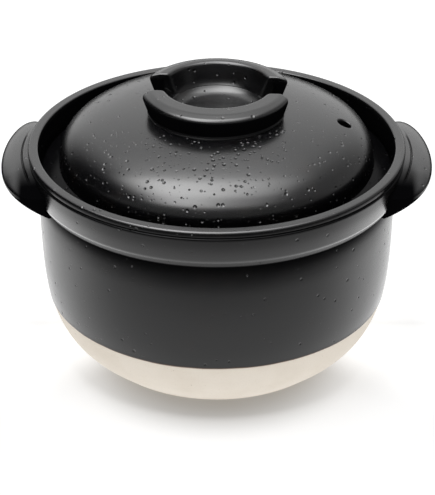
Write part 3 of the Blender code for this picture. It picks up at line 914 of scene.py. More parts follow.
@dataclass(frozen=True)
class EarHandle:
    """A thick clay ear, luted to the collar, with a hollow below for the fingers.

    The solid has the same ear without the tuck at its rear end, the roll at its front end and the
    crease. So the solid's rear end reaches further back along the collar than this one's does.
    """

    form: PotForm
    side: Side
    out: float = 0.0156
    span: float = 0.1259
    thickness: float = 0.0161
    top_drop: float = 0.0028
    droop: float = 0.0009
    squareness: float = 2.00
    edge_squareness: float = 2.10
    waist: float = 0.17
    flare: float = 0.0218
    flare_curve: float = 1.13
    crease_out: float = 0.0032
    crease_w: float = 0.00042
    crease_depth: float = 0.0013
    crease_from: float = math.radians(-19.0)
    crease_to: float = math.radians(8.0)
    hollow_w: float = 0.0110
    hollow_h: float = 0.0210
    hollow_drop: float = 0.0145
    hollow_span: float = 0.0560
    in_wall: float = 0.0015
    below_middle: float = 0.0002
    rear_tuck: float = 0.50
    roll_from: float = 0.0260
    roll_curve: float = 0.0120
    roll_drop: float = 0.0034
    hollow_soft: float = 0.0008
    crease_fade: float = 0.02
    crease_lip: float = 0.00018
    crease_lip_out: float = 0.0018
    crease_lip_w: float = 0.0008
    # Painted shade: a dull black on the ear's front end, in its nook and under it.
    painted_shade_front: Span = (0.037, 0.052)
    painted_shade_nook_out: Span = (0.1190, 0.1125)
    painted_shade_nook_front: Span = (0.010, 0.044)
    painted_shade_under: float = 0.003

    @property
    def middle(self) -> float:
        """Height of the middle of the ear's thickness."""
        return self.form.height - self.top_drop - self.thickness / 2.0

    def section(self) -> tuple[np.ndarray, np.ndarray]:
        """Width and height of the ear's section, from the middle of its top to that of its base."""
        turns = np.concatenate([
            np.linspace(0.5, 0.14, 150)[:-1],
            np.linspace(0.14, -0.14, 50)[:-1],
            np.linspace(-0.14, -0.5, 70),
        ])
        width, up = superellipse(turns * np.pi, self.edge_squareness)
        return np.abs(width), up

    def plan(self) -> tuple[np.ndarray, np.ndarray]:
        """How far out and how far along the ear's outline runs in plan."""
        turns = np.concatenate([np.linspace(-0.5, 0.5, 225)[:-1], np.linspace(0.5, 1.5, 47)[:-1]])
        return superellipse(turns * np.pi, self.squareness)

    def hollow(self, x: np.ndarray, y: np.ndarray, z: np.ndarray) -> np.ndarray:
        """Underside lifted over the finger hollow.

        The hollow is a dome; where its top is above the underside, the underside follows it, and
        a soft maximum of 0.8 mm rounds the edge between the two.
        """
        middle = self.form.height - self.top_drop - self.thickness - self.hollow_drop
        across, along = (x - self.form.band_r) / self.hollow_w, 2.0 * y / self.hollow_span
        reach = 1.0 - across ** 2 - along ** 2
        top = np.where(reach > 0.0, middle + self.hollow_h * np.sqrt(np.maximum(reach, 0.0)), 0.0)
        soft = self.hollow_soft
        return np.maximum(z, top) + soft * np.log1p(np.exp(-np.abs(z - top) / soft)) * (top > 0.0)

    def grid(self) -> np.ndarray:
        """The ear's surface for the right side of the pot.

        With (w, up) on the section and (out, along) on the plan, the point is
        x = root + reach w out, y = span / 2 w along (1 - waist inward - tuck inward^3), with the
        tuck at the rear only, and
        z = middle + thickness / 2 up - flare inward^c max(-up, 0) - droop (w out)^2, where inward
        is 1 - w out held between 0 and 1. Points inside the pot are moved out into its wall. The
        top rolls down at the front end by drop max(up, 0) (sqrt(1 + past^2) - 1), where past is
        how far it is past the start of the roll, in lengths of the roll's curve.
        """
        form = self.form
        width, up = (part[:, None] for part in self.section())
        out, along = (part[None, :] for part in self.plan())
        root = form.wall_r - form.wall_t
        reach = form.band_r + self.out - root
        middle = self.middle
        inward = 1.0 - np.clip(width * out, 0.0, 1.0)
        x = root + reach * width * out
        tuck = self.rear_tuck * inward ** 3 * (along > 0.0)
        y = self.span / 2.0 * width * along * (1.0 - self.waist * inward - tuck)
        flare = self.flare * inward ** self.flare_curve * np.maximum(-up, 0.0)
        past = np.maximum(-y - self.roll_from, 0.0) / self.roll_curve
        roll_off = self.roll_drop * np.maximum(up, 0.0) * (np.sqrt(1.0 + past ** 2) - 1.0)
        z = middle + self.thickness / 2.0 * up - flare - self.droop * (width * out) ** 2 - roll_off
        underside = np.minimum(self.hollow(x, y, z), middle - self.below_middle)
        z = np.where(up < 0.0, underside, z)
        radius, angle = np.hypot(x, y), np.arctan2(y, x)
        slit = np.exp(-((radius - form.band_r - self.crease_out) / self.crease_w) ** 2)
        ends = 1.0 / (1.0 + np.exp(-(angle - self.crease_from) / self.crease_fade))
        ends = ends / (1.0 + np.exp((angle - self.crease_to) / self.crease_fade))
        lip = np.exp(-((radius - form.band_r - self.crease_lip_out) / self.crease_lip_w) ** 2)
        z = z - np.where(up > 0.0, (self.crease_depth * slit - self.crease_lip * lip) * ends, 0.0)
        below_band = z < form.band_bottom + form.chamfer_h / 2.0
        limit = np.where(below_band, form.outside(z), form.band_r) - self.in_wall
        x = np.maximum(x, np.sqrt(np.maximum(limit ** 2 - y ** 2, 0.0)))
        return np.stack([x, y, z], axis=-1)

    def shade(self, points: np.ndarray) -> np.ndarray:
        """Painted shade, a dull black: 1 on the front end, below the ear and in its nook by the collar.
        """
        out, front, height = np.abs(points[:, 0]), -points[:, 1], points[:, 2]
        end = fade(front, *self.painted_shade_front)
        nook = fade(out, *self.painted_shade_nook_out) * fade(front, *self.painted_shade_nook_front)
        under = fade(height, self.middle, self.middle - self.painted_shade_under)
        return np.maximum(np.maximum(end, nook), under)

    def make(self, finish: bpy.types.Material) -> None:
        """Builds the ear.

        Args:
            finish: The glaze.
        """
        node = "handle_left" if self.side is Side.LEFT else "handle_right"
        grid = self.grid()
        grid[..., 0] *= self.side.value
        shell = Shell(node + "_glazed")
        shell.add(grid)
        shell.dressed("pot", "black_glaze", node, finish, {"shade": self.shade})


# ---------------------------------------------------------------------------------------------
# The lids


@dataclass(frozen=True)
class SteamHole:
    """A round hole through a lid, with soft rims."""

    out: float
    angle: float
    radius: float
    rim: float = 0.0009
    half: float = 0.0060
    rows: int = 12
    half_columns: int = 4

    def radii(self) -> np.ndarray:
        """Distances from the lid's axis of the rows that the hole's patch replaces."""
        return np.linspace(self.out - self.half, self.out + self.half, self.rows + 1)

    def patch(self, upper: HeightOver, lower: HeightOver, columns: int) -> np.ndarray:
        """Grid that leads from the lid's top into the hole, through it and out over the underside.

        Its columns start on the edge of the block of faces that it replaces. A column moves
        evenly towards the middle of the hole until it is radius + rim away, then turns down on a
        quarter round, goes through the lid and does the same in reverse.

        Args:
            upper: Height of the lid's top over a distance from its axis.
            lower: Height of its underside.
            columns: Columns of the lid's own grid.

        Returns:
            A (rows, columns, 3) grid.
        """
        step = 2.0 * np.pi / columns
        turn = self.angle + step * np.arange(-self.half_columns, self.half_columns + 1)
        radii = self.radii()
        loop_r = np.concatenate([
            np.full(len(turn) - 1, radii[0]), radii[:-1],
            np.full(len(turn) - 1, radii[-1]), radii[:0:-1],
        ])
        loop_a = np.concatenate([
            turn[:-1], np.full(len(radii) - 1, turn[-1]),
            turn[:0:-1], np.full(len(radii) - 1, turn[0]),
        ])
        start = np.stack([loop_r * np.cos(loop_a), loop_r * np.sin(loop_a)], axis=-1)
        middle = self.out * np.array([math.cos(self.angle), math.sin(self.angle)])
        spoke = start - middle
        spoke /= np.linalg.norm(spoke, axis=1, keepdims=True)
        share = np.linspace(0.0, 1.0, 9)[:, None, None]
        flat = start + (middle + spoke * (self.radius + self.rim) - start) * share
        round_by = np.linspace(0.0, np.pi / 2.0, 8)[1:, None, None]
        rim = middle + spoke * (self.radius + self.rim - self.rim * np.sin(round_by))
        plan = np.concatenate([flat, rim])
        dip = np.concatenate([np.zeros(9), self.rim * (1.0 - np.cos(round_by[:, 0, 0]))])[:, None]
        away = np.linalg.norm(plan, axis=-1)
        top = np.concatenate([plan, (upper(away) - dip)[..., None]], axis=-1)
        base = np.concatenate([plan, (lower(away) + dip)[..., None]], axis=-1)
        through = top[-1:] + (base[-1:] - top[-1:]) * np.linspace(0.0, 1.0, 6)[1:-1, None, None]
        return np.concatenate([top, through, base[::-1]])


@dataclass(frozen=True)
class PiercedLid:
    """A turned lid with steam holes: its two sides, its rim and where its underside lies."""

    upper: HeightOver
    lower: HeightOver
    upper_edge: np.ndarray
    rim: np.ndarray
    lower_edge: np.ndarray
    holes: tuple[SteamHole, ...]
    inner_rows: np.ndarray
    columns: int = 288

    def side(self, height: HeightOver, edge: np.ndarray) -> np.ndarray:
        """Profile of one side from the axis to its edge, through the rows of the holes."""
        block = self.holes[0].radii()
        radii = np.concatenate([self.inner_rows, block])
        return np.vstack([np.stack([radii, height(radii)], axis=1), edge])

    def shell(self, name: str) -> Shell:
        """The lid's shell in its own place: turned, then pierced.

        Args:
            name: The piece's name.

        Returns:
            The shell, with the lid's underside at height 0.
        """
        top = self.side(self.upper, self.upper_edge)
        base = self.side(self.lower, self.lower_edge)
        profile = np.vstack([top, self.rim, base[::-1]])
        rows = np.arange(len(profile) - 1)
        first = len(self.inner_rows)
        count = self.holes[0].rows
        last_base = len(profile) - 1 - first
        in_top = (rows >= first) & (rows < first + count)
        in_base = (rows >= last_base - count) & (rows < last_base)
        skip = np.zeros((len(profile) - 1, self.columns), dtype=bool)
        for hole in self.holes:
            middle = round(hole.angle / (2.0 * math.pi) * self.columns)
            at = np.arange(middle - hole.half_columns, middle + hole.half_columns) % self.columns
            skip[:, at] |= (in_top | in_base)[:, None]
        shell = Shell(name)
        shell.add(turned(profile, self.columns), skip=skip)
        for hole in self.holes:
            shell.add(hole.patch(self.upper, self.lower, self.columns))
        return shell


@dataclass(frozen=True)
class DomeForm:
    """The outer lid's sizes and the flattened oval arch of its dome."""

    pot: PotForm
    lid_t: float = 0.0075
    turn: float = math.radians(-4.0)
    flange_t: float = 0.0036
    flange_root_t: float = 0.0068
    flange_w: float = 0.0108
    rise: float = 0.0080
    height: float = 0.0335
    power: float = 2.65

    @property
    def flange_r(self) -> float:
        """Outer radius of the flange that lies on the seat."""
        return self.pot.collar_r - self.pot.lid_play

    @property
    def dome_r(self) -> float:
        """Radius of the dome at its foot."""
        return self.flange_r - self.flange_w

    @property
    def base(self) -> float:
        """Height of the lid's underside in the pot."""
        return self.pot.lid_seat_z + self.pot.touch_gap

    def outside(self, radius: np.ndarray) -> np.ndarray:
        """Height of the dome over a radius: rise + height (1 - (r / R)^p)^(1 / p)."""
        share = np.minimum(radius / self.dome_r, 1.0) ** self.power
        return self.rise + self.height * (1.0 - share) ** (1.0 / self.power)

    def hollow(self, radius: np.ndarray) -> np.ndarray:
        """Height of the hollow under the dome: the same arch, smaller by the lid's thickness."""
        share = np.minimum(radius / (self.dome_r - self.lid_t), 1.0) ** self.power
        return self.rise + (self.height - self.lid_t) * (1.0 - share) ** (1.0 / self.power)

    def edge(self, full: float, rise: float, start: float, count: int) -> np.ndarray:
        """The arch from a radius to its foot, at even angles a: r = R sin(a)^(2 / p)."""
        first = math.asin((start / full) ** (self.power / 2.0))
        angle = np.linspace(first, math.pi / 2.0, count)[1:]
        radius = full * np.sin(angle) ** (2.0 / self.power)
        height = self.rise + rise * np.maximum(np.cos(angle), 0.0) ** (2.0 / self.power)
        return np.stack([radius, height], axis=1)


@dataclass(frozen=True)
class GripWell:
    """The bowl inside the ring grip, set back a little, which both arcs and the lid share."""

    dome: DomeForm
    grip_base_r: float = 0.0406
    grip_h: float = 0.0139
    radius: float = 0.0315
    back: float = 0.0030
    depth: float = 0.0173
    lean: float = 0.0046
    edge: float = 0.0025
    curve: float = 0.0120
    floor_t: float = 0.0060
    spacing: float = 0.0005
    past_rim: float = 0.004
    # Painted shade: a partial dull black on the bowl's wall.
    painted_shade: float = 0.35
    painted_shade_above_floor: Span = (0.0026, 0.0048)
    painted_shade_below_top: Span = (0.0008, 0.0024)

    @property
    def top(self) -> float:
        """Height of the ring's top in the lid."""
        return float(self.dome.outside(np.array(self.grip_base_r))) + self.grip_h

    @property
    def ceiling(self) -> float:
        """Height of the lid's flat underside below the bowl."""
        return self.top - self.depth - self.floor_t

    def outline(self) -> np.ndarray:
        """(r, z) about the bowl's own middle, from the floor's middle up over the soft rim."""
        foot = self.top - self.depth
        return filled_in(filleted([
            (0.0, foot, 0.0),
            (self.radius - self.lean, foot, self.curve),
            (self.radius, self.top, self.edge),
            (self.radius + 2.0 * self.edge, self.top, 0.0),
        ], 14), self.spacing)

    def height(self, radius: np.ndarray) -> np.ndarray:
        """Height of the bowl's surface at a distance from its middle."""
        outline = self.outline()
        return np.interp(radius, outline[:, 0], outline[:, 1])

    def wall_r(self, height: np.ndarray) -> np.ndarray:
        """Radius of the leaning wall at a height, without the soft rim."""
        return self.radius - self.lean * (self.top - height) / self.depth

    def shade(self, height: np.ndarray) -> np.ndarray:
        """Painted shade, a dull black, at a height on the bowl's wall, between its floor and its rim.
        """
        foot = self.top - self.depth
        low, high = self.painted_shade_above_floor
        near, far = self.painted_shade_below_top
        above_floor = fade(height, foot + low, foot + high)
        return self.painted_shade * above_floor * fade(height, self.top - near, self.top - far)

    def shift(self, angle: np.ndarray, back: float) -> np.ndarray:
        """How much further from the lid's axis the wall is because the bowl is set back by b.

        A circle of radius R about a point at b along y is, in the direction a from the axis, at
        about R + b sin a - (b cos a)^2 / 2 R.
        """
        return back * np.sin(angle) - (back * np.cos(angle)) ** 2 / (2.0 * self.radius)


@dataclass(frozen=True)
class OuterLid:
    """The domed lid, sunk in the collar, with one steam hole and the bowl of its grip."""

    dome: DomeForm
    well: GripWell
    hole: SteamHole = SteamHole(0.0752, 0.0, 0.0040)
    soft: float = 0.0003
    on_dome: float = 0.0001
    rim_spacing: float = 0.0011
    # Painted shade: a dull black on the flange down in the trough.
    painted_shade: float = 0.85
    painted_shade_from: Span = (-0.0001, 0.0003)

    def hollow(self, radius: np.ndarray) -> np.ndarray:
        """Height of the underside: the dome's hollow, cut off flat below the bowl."""
        return self.lower_of(self.dome.hollow(radius), self.well.ceiling)

    def lower_of(self, one: np.ndarray, other: Union[np.ndarray, float]) -> np.ndarray:
        """The lower of two heights, with a soft edge: min - s ln(1 + exp(-|one - other| / s))."""
        soft = self.soft
        return np.minimum(one, other) - soft * np.log1p(np.exp(-np.abs(one - other) / soft))

    def with_well(self, points: np.ndarray) -> np.ndarray:
        """The lid's points, with those on its top lowered on to the bowl inside the grip."""
        radius, height = out_and_up(points)
        away = np.hypot(points[..., 0], points[..., 1] - self.well.back)
        near = away < self.well.radius + self.well.past_rim
        on_top = (height > self.dome.outside(radius) - self.on_dome) & near
        lowered = np.where(on_top, self.lower_of(height, self.well.height(away)), height)
        return np.concatenate([points[..., :2], lowered[..., None]], axis=-1)

    def shade(self, points: np.ndarray) -> np.ndarray:
        """Painted shade, a dull black: on the flange in its trough, and on the wall of the bowl."""
        radius, height = out_and_up(points)
        near, far = self.painted_shade_from
        trough = fade(radius, self.dome.dome_r + near, self.dome.dome_r + far)
        in_well = radius < self.well.radius + self.well.past_rim / 2.0
        return np.maximum(self.painted_shade * trough, self.well.shade(height - self.dome.base) * in_well)

    def make(self, finish: bpy.types.Material) -> None:
        """Builds the lid.

        Args:
            finish: The glaze.
        """
        dome = self.dome
        hollow_r = dome.dome_r - dome.lid_t
        start = float(self.hole.radii()[-1])
        rim = filleted([
            (dome.dome_r, dome.rise, 0.0),
            (dome.dome_r, dome.flange_root_t, (dome.rise - dome.flange_root_t) / 2.0),
            (dome.flange_r, dome.flange_t, dome.flange_t / 3.0),
            (dome.flange_r, 0.0, dome.flange_t / 4.0),
            (hollow_r, 0.0, dome.flange_t / 4.0),
            (hollow_r, dome.rise, 0.0),
        ])
        lid = PiercedLid(
            upper=dome.outside,
            lower=self.hollow,
            upper_edge=dome.edge(dome.dome_r, dome.height, start, 60),
            rim=filled_in(rim, self.rim_spacing)[1:-1],
            lower_edge=dome.edge(hollow_r, dome.height - dome.lid_t, start, 20),
            holes=(self.hole,),
            inner_rows=np.concatenate([
                np.linspace(0.0, 0.0150, 7)[:-1],
                np.linspace(0.0150, 0.0245, 14)[:-1],
                np.linspace(0.0245, 0.0345, 34)[:-1],
                np.linspace(0.0345, self.hole.radii()[0], 20)[:-1],
            ]),
        )
        shell = lid.shell("outer_lid_glazed")
        lift = np.array([0.0, 0.0, dome.base])
        shell.points = [spun(self.with_well(points), dome.turn) + lift for points in shell.points]
        shell.dressed("outer_lid", "black_glaze", "outer_lid", finish, {"shade": self.shade})


@dataclass(frozen=True)
class GripArc:
    """One arc of the split ring grip: an overhanging section carried round, with rounded ends."""

    dome: DomeForm
    well: GripWell
    arc: Arc
    cut: float
    corner: float
    inner_corner: float
    top_r: float = 0.0447
    bevel_w: float = 0.0062
    bevel_h: float = 0.0019
    outer_edge: float = 0.0035
    end_edge: float = 0.0011
    fillet: float = 0.0006
    sunk: float = 0.0020
    spacing: float = 0.0007
    wall_below: float = 0.0006
    foot_below: float = 0.0002
    rim_gap: float = 0.0003
    corner_past: float = 0.0006
    corner_short: float = 0.0002
    # Painted shade: a dull black on the arc's sides, between its bevel and its foot.
    painted_shade_below_top: Span = (0.0024, 0.0038)
    painted_shade_above_foot: Span = (0.0006, 0.0012)

    @property
    def back(self) -> float:
        """How far the bowl's middle is towards this arc."""
        return self.well.back * self.arc.value

    def section(self) -> np.ndarray:
        """Closed outline of the section in (r, z), with a fillet of clay slip at its outer foot.

        Its inner side is the bowl's wall, which goes straight down below the dome's surface.
        """
        base_r, top = self.well.grip_base_r, self.well.top
        foot = float(self.dome.outside(np.array(base_r)))
        lean = (self.top_r - base_r) / (self.well.grip_h - self.bevel_h) * 2.0 * self.fillet
        wall = self.well.outline()
        inner_foot = float(self.dome.outside(np.array(self.well.radius)))
        wall = wall[wall[:, 1] > inner_foot - self.wall_below]
        outline = filleted([
            (self.well.radius + 1.8 * self.well.edge, top, 0.0),
            (self.top_r - self.bevel_w, top, 2.0 * self.outer_edge),
            (self.top_r, top - self.bevel_h, self.outer_edge),
            (base_r + lean, foot + 2.0 * self.fillet, self.fillet),
            (base_r + self.fillet, foot - self.foot_below, 0.0),
            (base_r, foot - self.sunk, 0.0),
            (wall[0, 0], inner_foot - self.sunk, 0.0),
        ])
        rim = wall[wall[:, 0] < outline[0, 0] - self.rim_gap]
        return filled_in(np.vstack([outline, rim]), self.spacing)

    def carried(self, section: np.ndarray, angle: np.ndarray) -> np.ndarray:
        """Distance from the axis of the section's points at an angle.

        The wall and its rim move with the set-back bowl, the bevel and the outer side don't, and
        the flat top between them stretches evenly.
        """
        rim = self.well.radius + 0.8 * self.well.edge
        bevel = self.top_r - self.bevel_w - 0.3 * self.outer_edge
        share = np.clip((bevel - section[:, 0]) / (bevel - rim), 0.0, 1.0)
        return section[:, 0] + share * self.well.shift(angle, self.back)

    def corner_angle(
        self, radius: np.ndarray, away: np.ndarray, turn: np.ndarray, corner: float,
    ) -> np.ndarray:
        """Angle at a radius of the near side of a circle of radius c, for an end's corner.

        Its middle is at the distance d and the angle b, so the angle is
        b - acos((r^2 + d^2 - c^2) / 2 r d).
        """
        cosine = (radius ** 2 + away ** 2 - corner ** 2) / (2.0 * radius * away)
        return turn - np.arccos(np.clip(cosine, -1.0, 1.0))

    def end_angle(self, section: np.ndarray, cut: float) -> np.ndarray:
        """Angle at which each point of the section ends.

        The end is the straight line y = cut, so the angle is asin(cut / r), apart from its two
        corners. The outer one lies on a circle inside the ring's edge, the inner one on a circle
        outside the bowl's wall at the point's height. The radius follows from the angle and the
        angle from the radius, so both are found in five rounds.
        """
        outer_away = self.top_r + self.corner_past - self.corner
        outer_x = math.sqrt(outer_away ** 2 - (cut + self.corner) ** 2)
        outer_turn = math.atan2(cut + self.corner, outer_x)
        wall_r = self.well.wall_r(np.minimum(section[:, 1], self.well.top))
        reach = wall_r - self.corner_short + self.inner_corner
        inner_x = np.sqrt(reach ** 2 - (cut + self.inner_corner - self.back) ** 2)
        inner_away = np.hypot(inner_x, cut + self.inner_corner)
        inner_turn = np.arctan2(cut + self.inner_corner, inner_x)
        angle = np.arcsin(np.clip(cut / section[:, 0], -1.0, 1.0))
        for _ in range(5):
            radius = self.carried(section, angle)
            angle = np.arcsin(np.clip(cut / radius, -1.0, 1.0))
            rounded = self.corner_angle(radius, outer_away, outer_turn, self.corner)
            angle = np.where(radius > math.hypot(outer_x, cut), rounded, angle)
            rounded = self.corner_angle(radius, inner_away, inner_turn, self.inner_corner)
            angle = np.where(radius < np.hypot(inner_x, cut), rounded, angle)
        return angle

    def grid(self) -> np.ndarray:
        """The arc's surface for the rear of the lid, before the lid is turned.

        The section is carried from one end's angle to the other. At each end it is drawn in by
        e (1 - cos t) while the end moves out by e sin t, for an edge of radius e, and then drawn
        together to its middle in the plane of the end.
        """
        section = self.section()
        along = np.roll(section, -1, axis=0) - np.roll(section, 1, axis=0)
        normal = np.stack([along[:, 1], -along[:, 0]], axis=1)
        normal /= np.linalg.norm(normal, axis=1, keepdims=True)
        centre = section.mean(axis=0)
        normal *= np.sign((normal * (section - centre)).sum())
        start = self.end_angle(section, self.cut + self.end_edge)
        turns = start + np.linspace(0.0, 1.0, 97)[:, None] * (np.pi - 2.0 * start)
        rows = [(section, angle) for angle in turns]
        caps = []
        for turn in np.linspace(0.0, math.pi / 2.0, 7)[1:]:
            inset = section - normal * self.end_edge * (1.0 - math.cos(turn))
            cut = self.cut + self.end_edge * (1.0 - math.sin(turn))
            caps.append((inset, self.end_angle(inset, cut)))
        flat = caps[-1][0]
        for share in (0.75, 0.5, 0.25, 0.0):
            drawn = centre + (flat - centre) * share
            caps.append((drawn, self.end_angle(drawn, self.cut)))
        mirrored = [(outline, np.pi - angle) for outline, angle in caps]
        return np.stack([
            placed(self.carried(outline, angle), angle, outline[:, 1])
            for outline, angle in caps[::-1] + rows + mirrored
        ])

    def shade(self, points: np.ndarray) -> np.ndarray:
        """Painted shade, a dull black: on both sides of the arc, below its bevel and its rim."""
        radius, height = out_and_up(points)
        height = height - self.dome.base
        top, foot = self.well.top, float(self.dome.outside(np.array(self.well.grip_base_r)))
        near, far = self.painted_shade_below_top
        low, high = self.painted_shade_above_foot
        outer = fade(height, top - near, top - far) * fade(height, foot + low, foot + high)
        outside = radius > self.well.radius + self.well.past_rim
        return np.where(outside, outer, self.well.shade(height))

    def make(self, finish: bpy.types.Material) -> None:
        """Builds the arc.

        Args:
            finish: The glaze.
        """
        node = "lid_grip_front" if self.arc is Arc.FRONT else "lid_grip_rear"
        half_turn = math.pi if self.arc is Arc.FRONT else 0.0
        shell = Shell(node + "_glazed")
        lift = np.array([0.0, 0.0, self.dome.base])
        shell.add(spun(self.grid(), self.dome.turn + half_turn) + lift)
        shell.dressed("outer_lid", "black_glaze", node, finish, {"shade": self.shade})


@dataclass(frozen=True)
class InnerLid:
    """The flat pressing lid with its two steam holes, and the knob that lifts it."""

    pot: PotForm
    crown: float = 0.0050
    rim_edge: float = 0.0015
    hole_out: float = 0.0520
    hole_r: float = 0.0045
    knob_h: float = 0.0160
    knob_r: float = 0.0150
    neck_r: float = 0.0100
    neck_h: float = 0.0060
    hole_rim: float = 0.0008
    hole_half: float = 0.0066
    rim_spacing: float = 0.0015
    knob_spacing: float = 0.0008

    @property
    def base(self) -> float:
        """Height of the lid's underside in the pot."""
        return self.pot.ledge_z + self.pot.touch_gap

    @property
    def radius(self) -> float:
        """Outer radius of the lid."""
        return self.pot.lid_seat_r - self.pot.lid_play

    def above(self, radius: np.ndarray) -> np.ndarray:
        """Height of the top: thickness + crown (1 - (r / R)^2)."""
        return self.pot.inner_lid_t + self.crown * (1.0 - (radius / self.radius) ** 2)

    def below(self, radius: np.ndarray) -> np.ndarray:
        """Height of the hollow underside: crown (1 - (r / F)^2), where F is the flat rim's edge."""
        flat = self.pot.ledge_r - self.pot.ledge_w
        return self.crown * np.maximum(1.0 - (radius / flat) ** 2, 0.0)

    def make(self, finish: bpy.types.Material) -> None:
        """Builds the lid.

        Args:
            finish: The glaze.
        """
        sizes = (self.hole_r, self.hole_rim, self.hole_half)
        holes = tuple(
            SteamHole(self.hole_out, turn, *sizes, half_columns=6) for turn in (0.0, math.pi)
        )
        start = float(holes[0].radii()[-1])
        top_r = np.linspace(start, self.radius - self.rim_edge * 1.2, 16)[1:]
        low_r = np.linspace(start, self.pot.ledge_r - self.pot.ledge_w, 16)[1:]
        edge = float(self.above(top_r[-1:])[0])
        rim = filleted([
            (float(top_r[-1]), edge, 0.0),
            (self.radius, self.pot.inner_lid_t, self.rim_edge),
            (self.radius, 0.0, self.rim_edge),
            (float(low_r[-1]), 0.0, 0.0),
        ])
        lid = PiercedLid(
            upper=self.above,
            lower=self.below,
            upper_edge=np.stack([top_r, self.above(top_r)], axis=1),
            rim=filled_in(rim, self.rim_spacing)[1:-1],
            lower_edge=np.stack([low_r, self.below(low_r)], axis=1),
            holes=holes,
            inner_rows=np.linspace(0.0, holes[0].radii()[0], 36)[:-1],
        )
        shell = lid.shell("inner_lid_glazed")
        shell.points = [points + np.array([0.0, 0.0, self.base]) for points in shell.points]
        shell.dressed("inner_lid", "black_glaze", "inner_lid", finish, {})

    def make_knob(self, finish: bpy.types.Material) -> None:
        """Builds the turned knob on the lid's crown.

        Args:
            finish: The glaze.
        """
        base = self.base + self.pot.inner_lid_t + self.crown + self.pot.touch_gap
        outline = filleted([
            (0.0, base + self.knob_h, 0.0),
            (self.knob_r, base + self.knob_h, self.knob_r / 3.0),
            (self.knob_r, base + self.neck_h + self.knob_r / 5.0, self.knob_r / 6.0),
            (self.neck_r, base + self.neck_h, self.knob_r / 6.0),
            (self.neck_r, base, 0.0),
            (0.0, base, 0.0),
        ])
        shell = Shell("inner_lid_knob_glazed")
        shell.add(turned(filled_in(outline, self.knob_spacing), 128))
        shell.dressed("inner_lid", "black_glaze", "inner_lid_knob", finish, {})


# ---------------------------------------------------------------------------------------------
# The studio


@dataclass(frozen=True)
class PhotoCamera:
    """The photograph's viewpoint: a long lens, looking down on the pot from the front."""

    location: tuple[float, float, float] = (0.0, -1.0623, 0.6651)
    tilt: float = math.radians(60.352)
    lens: float = 145.4545
    film_width: float = 36.0
    shift_x: float = 0.00174
    nearest: float = 0.01

    def make(self) -> None:
        """Adds the camera and gives it to the scene."""
        lens = bpy.data.cameras.new("photo_camera")
        lens.lens = self.lens
        lens.sensor_width = self.film_width
        lens.shift_x = self.shift_x
        lens.clip_start = self.nearest
        camera = bpy.data.objects.new("photo_camera", lens)
        camera.location = self.location
        camera.rotation_euler = (self.tilt, 0.0, 0.0)
        bpy.context.scene.collection.objects.link(camera)
        bpy.context.scene.camera = camera
        log.info("photo_camera: lens %.1f mm", lens.lens)


@dataclass(frozen=True)
class SeenInGloss:
    """The room that gloss shows: a hazy backdrop, a softbox overhead and a dark front.

    It is given by the direction that gloss looks in. Its sweep is the angle from the horizon
    behind the pot (0), over the zenith (a quarter turn), to the horizon in front of it, in
    degrees, and x is how far it leans to the right, from -1 to 1.
    """

    backdrop: float = 1.30
    backdrop_left: Span = (-0.85, -0.38)
    backdrop_right: Span = (0.25, 0.85)
    backdrop_right_loss: float = 0.65
    overhead_end: Span = (147.0, 135.0)
    haze: float = 2.4
    haze_left: Span = (-0.70, -0.25)
    haze_right: Span = (0.62, 0.0)
    haze_start: Span = (40.0, 84.0)
    softbox: float = 9.0
    box_left: Span = (-0.80, -0.36)
    box_right: Span = (0.68, 0.44)
    box_fade: Span = (-0.25, 0.65)
    box_fade_loss: float = 0.78
    box_start: Span = (72.0, 80.0)
    box_end: Span = (143.0, 136.0)
    box_front: Span = (106.0, 114.0)
    box_front_loss: float = 0.25
    box_front_side: Span = (-0.25, 0.15)
    box_front_side_loss: float = 0.38
    dark_front: float = 0.30
    front_start: Span = (136.0, 150.0)
    floor_front: float = 0.86
    floor_rear: float = 0.68
    floor_turn: Span = (-0.16, 0.0)
    floor_x: float = 0.300
    floor_y: float = 0.250
    floor_edge: Span = (1.35, 0.78)

    def on_floor(self, x: Value, y: Value) -> Value:
        """The floor: an oval pool of light, brighter beside and behind the pot."""
        away = ((x / self.floor_x) ** 2.0 + (y / self.floor_y) ** 2.0).root()
        pool = self.floor_front + self.floor_rear * y.rise(*self.floor_turn)
        return pool * away.rise(*self.floor_edge)

    def in_room(self, x: Value, y: Value, z: Value) -> Value:
        """The room, for the unit direction (x, y, z)."""
        sweep = z.turn_from(y)
        sides = 1.0 - self.backdrop_right_loss * x.rise(*self.backdrop_right)
        sides = x.rise(*self.backdrop_left) * sides
        behind = self.backdrop * sides * sweep.rise(*self.overhead_end)
        haze = self.haze * x.rise(*self.haze_left) * x.rise(*self.haze_right)
        haze = haze * sweep.rise(*self.haze_start) * sweep.rise(*self.overhead_end)
        across = 1.0 - self.box_fade_loss * x.rise(*self.box_fade)
        across = x.rise(*self.box_left) * x.rise(*self.box_right) * across
        loss = self.box_front_loss + self.box_front_side_loss * x.rise(*self.box_front_side)
        front_part = 1.0 - sweep.rise(*self.box_front) * loss
        box = self.softbox * across * sweep.rise(*self.box_start) * sweep.rise(*self.box_end)
        dark = self.dark_front * sweep.rise(*self.front_start)
        return behind + haze.or_more(box * front_part) + dark


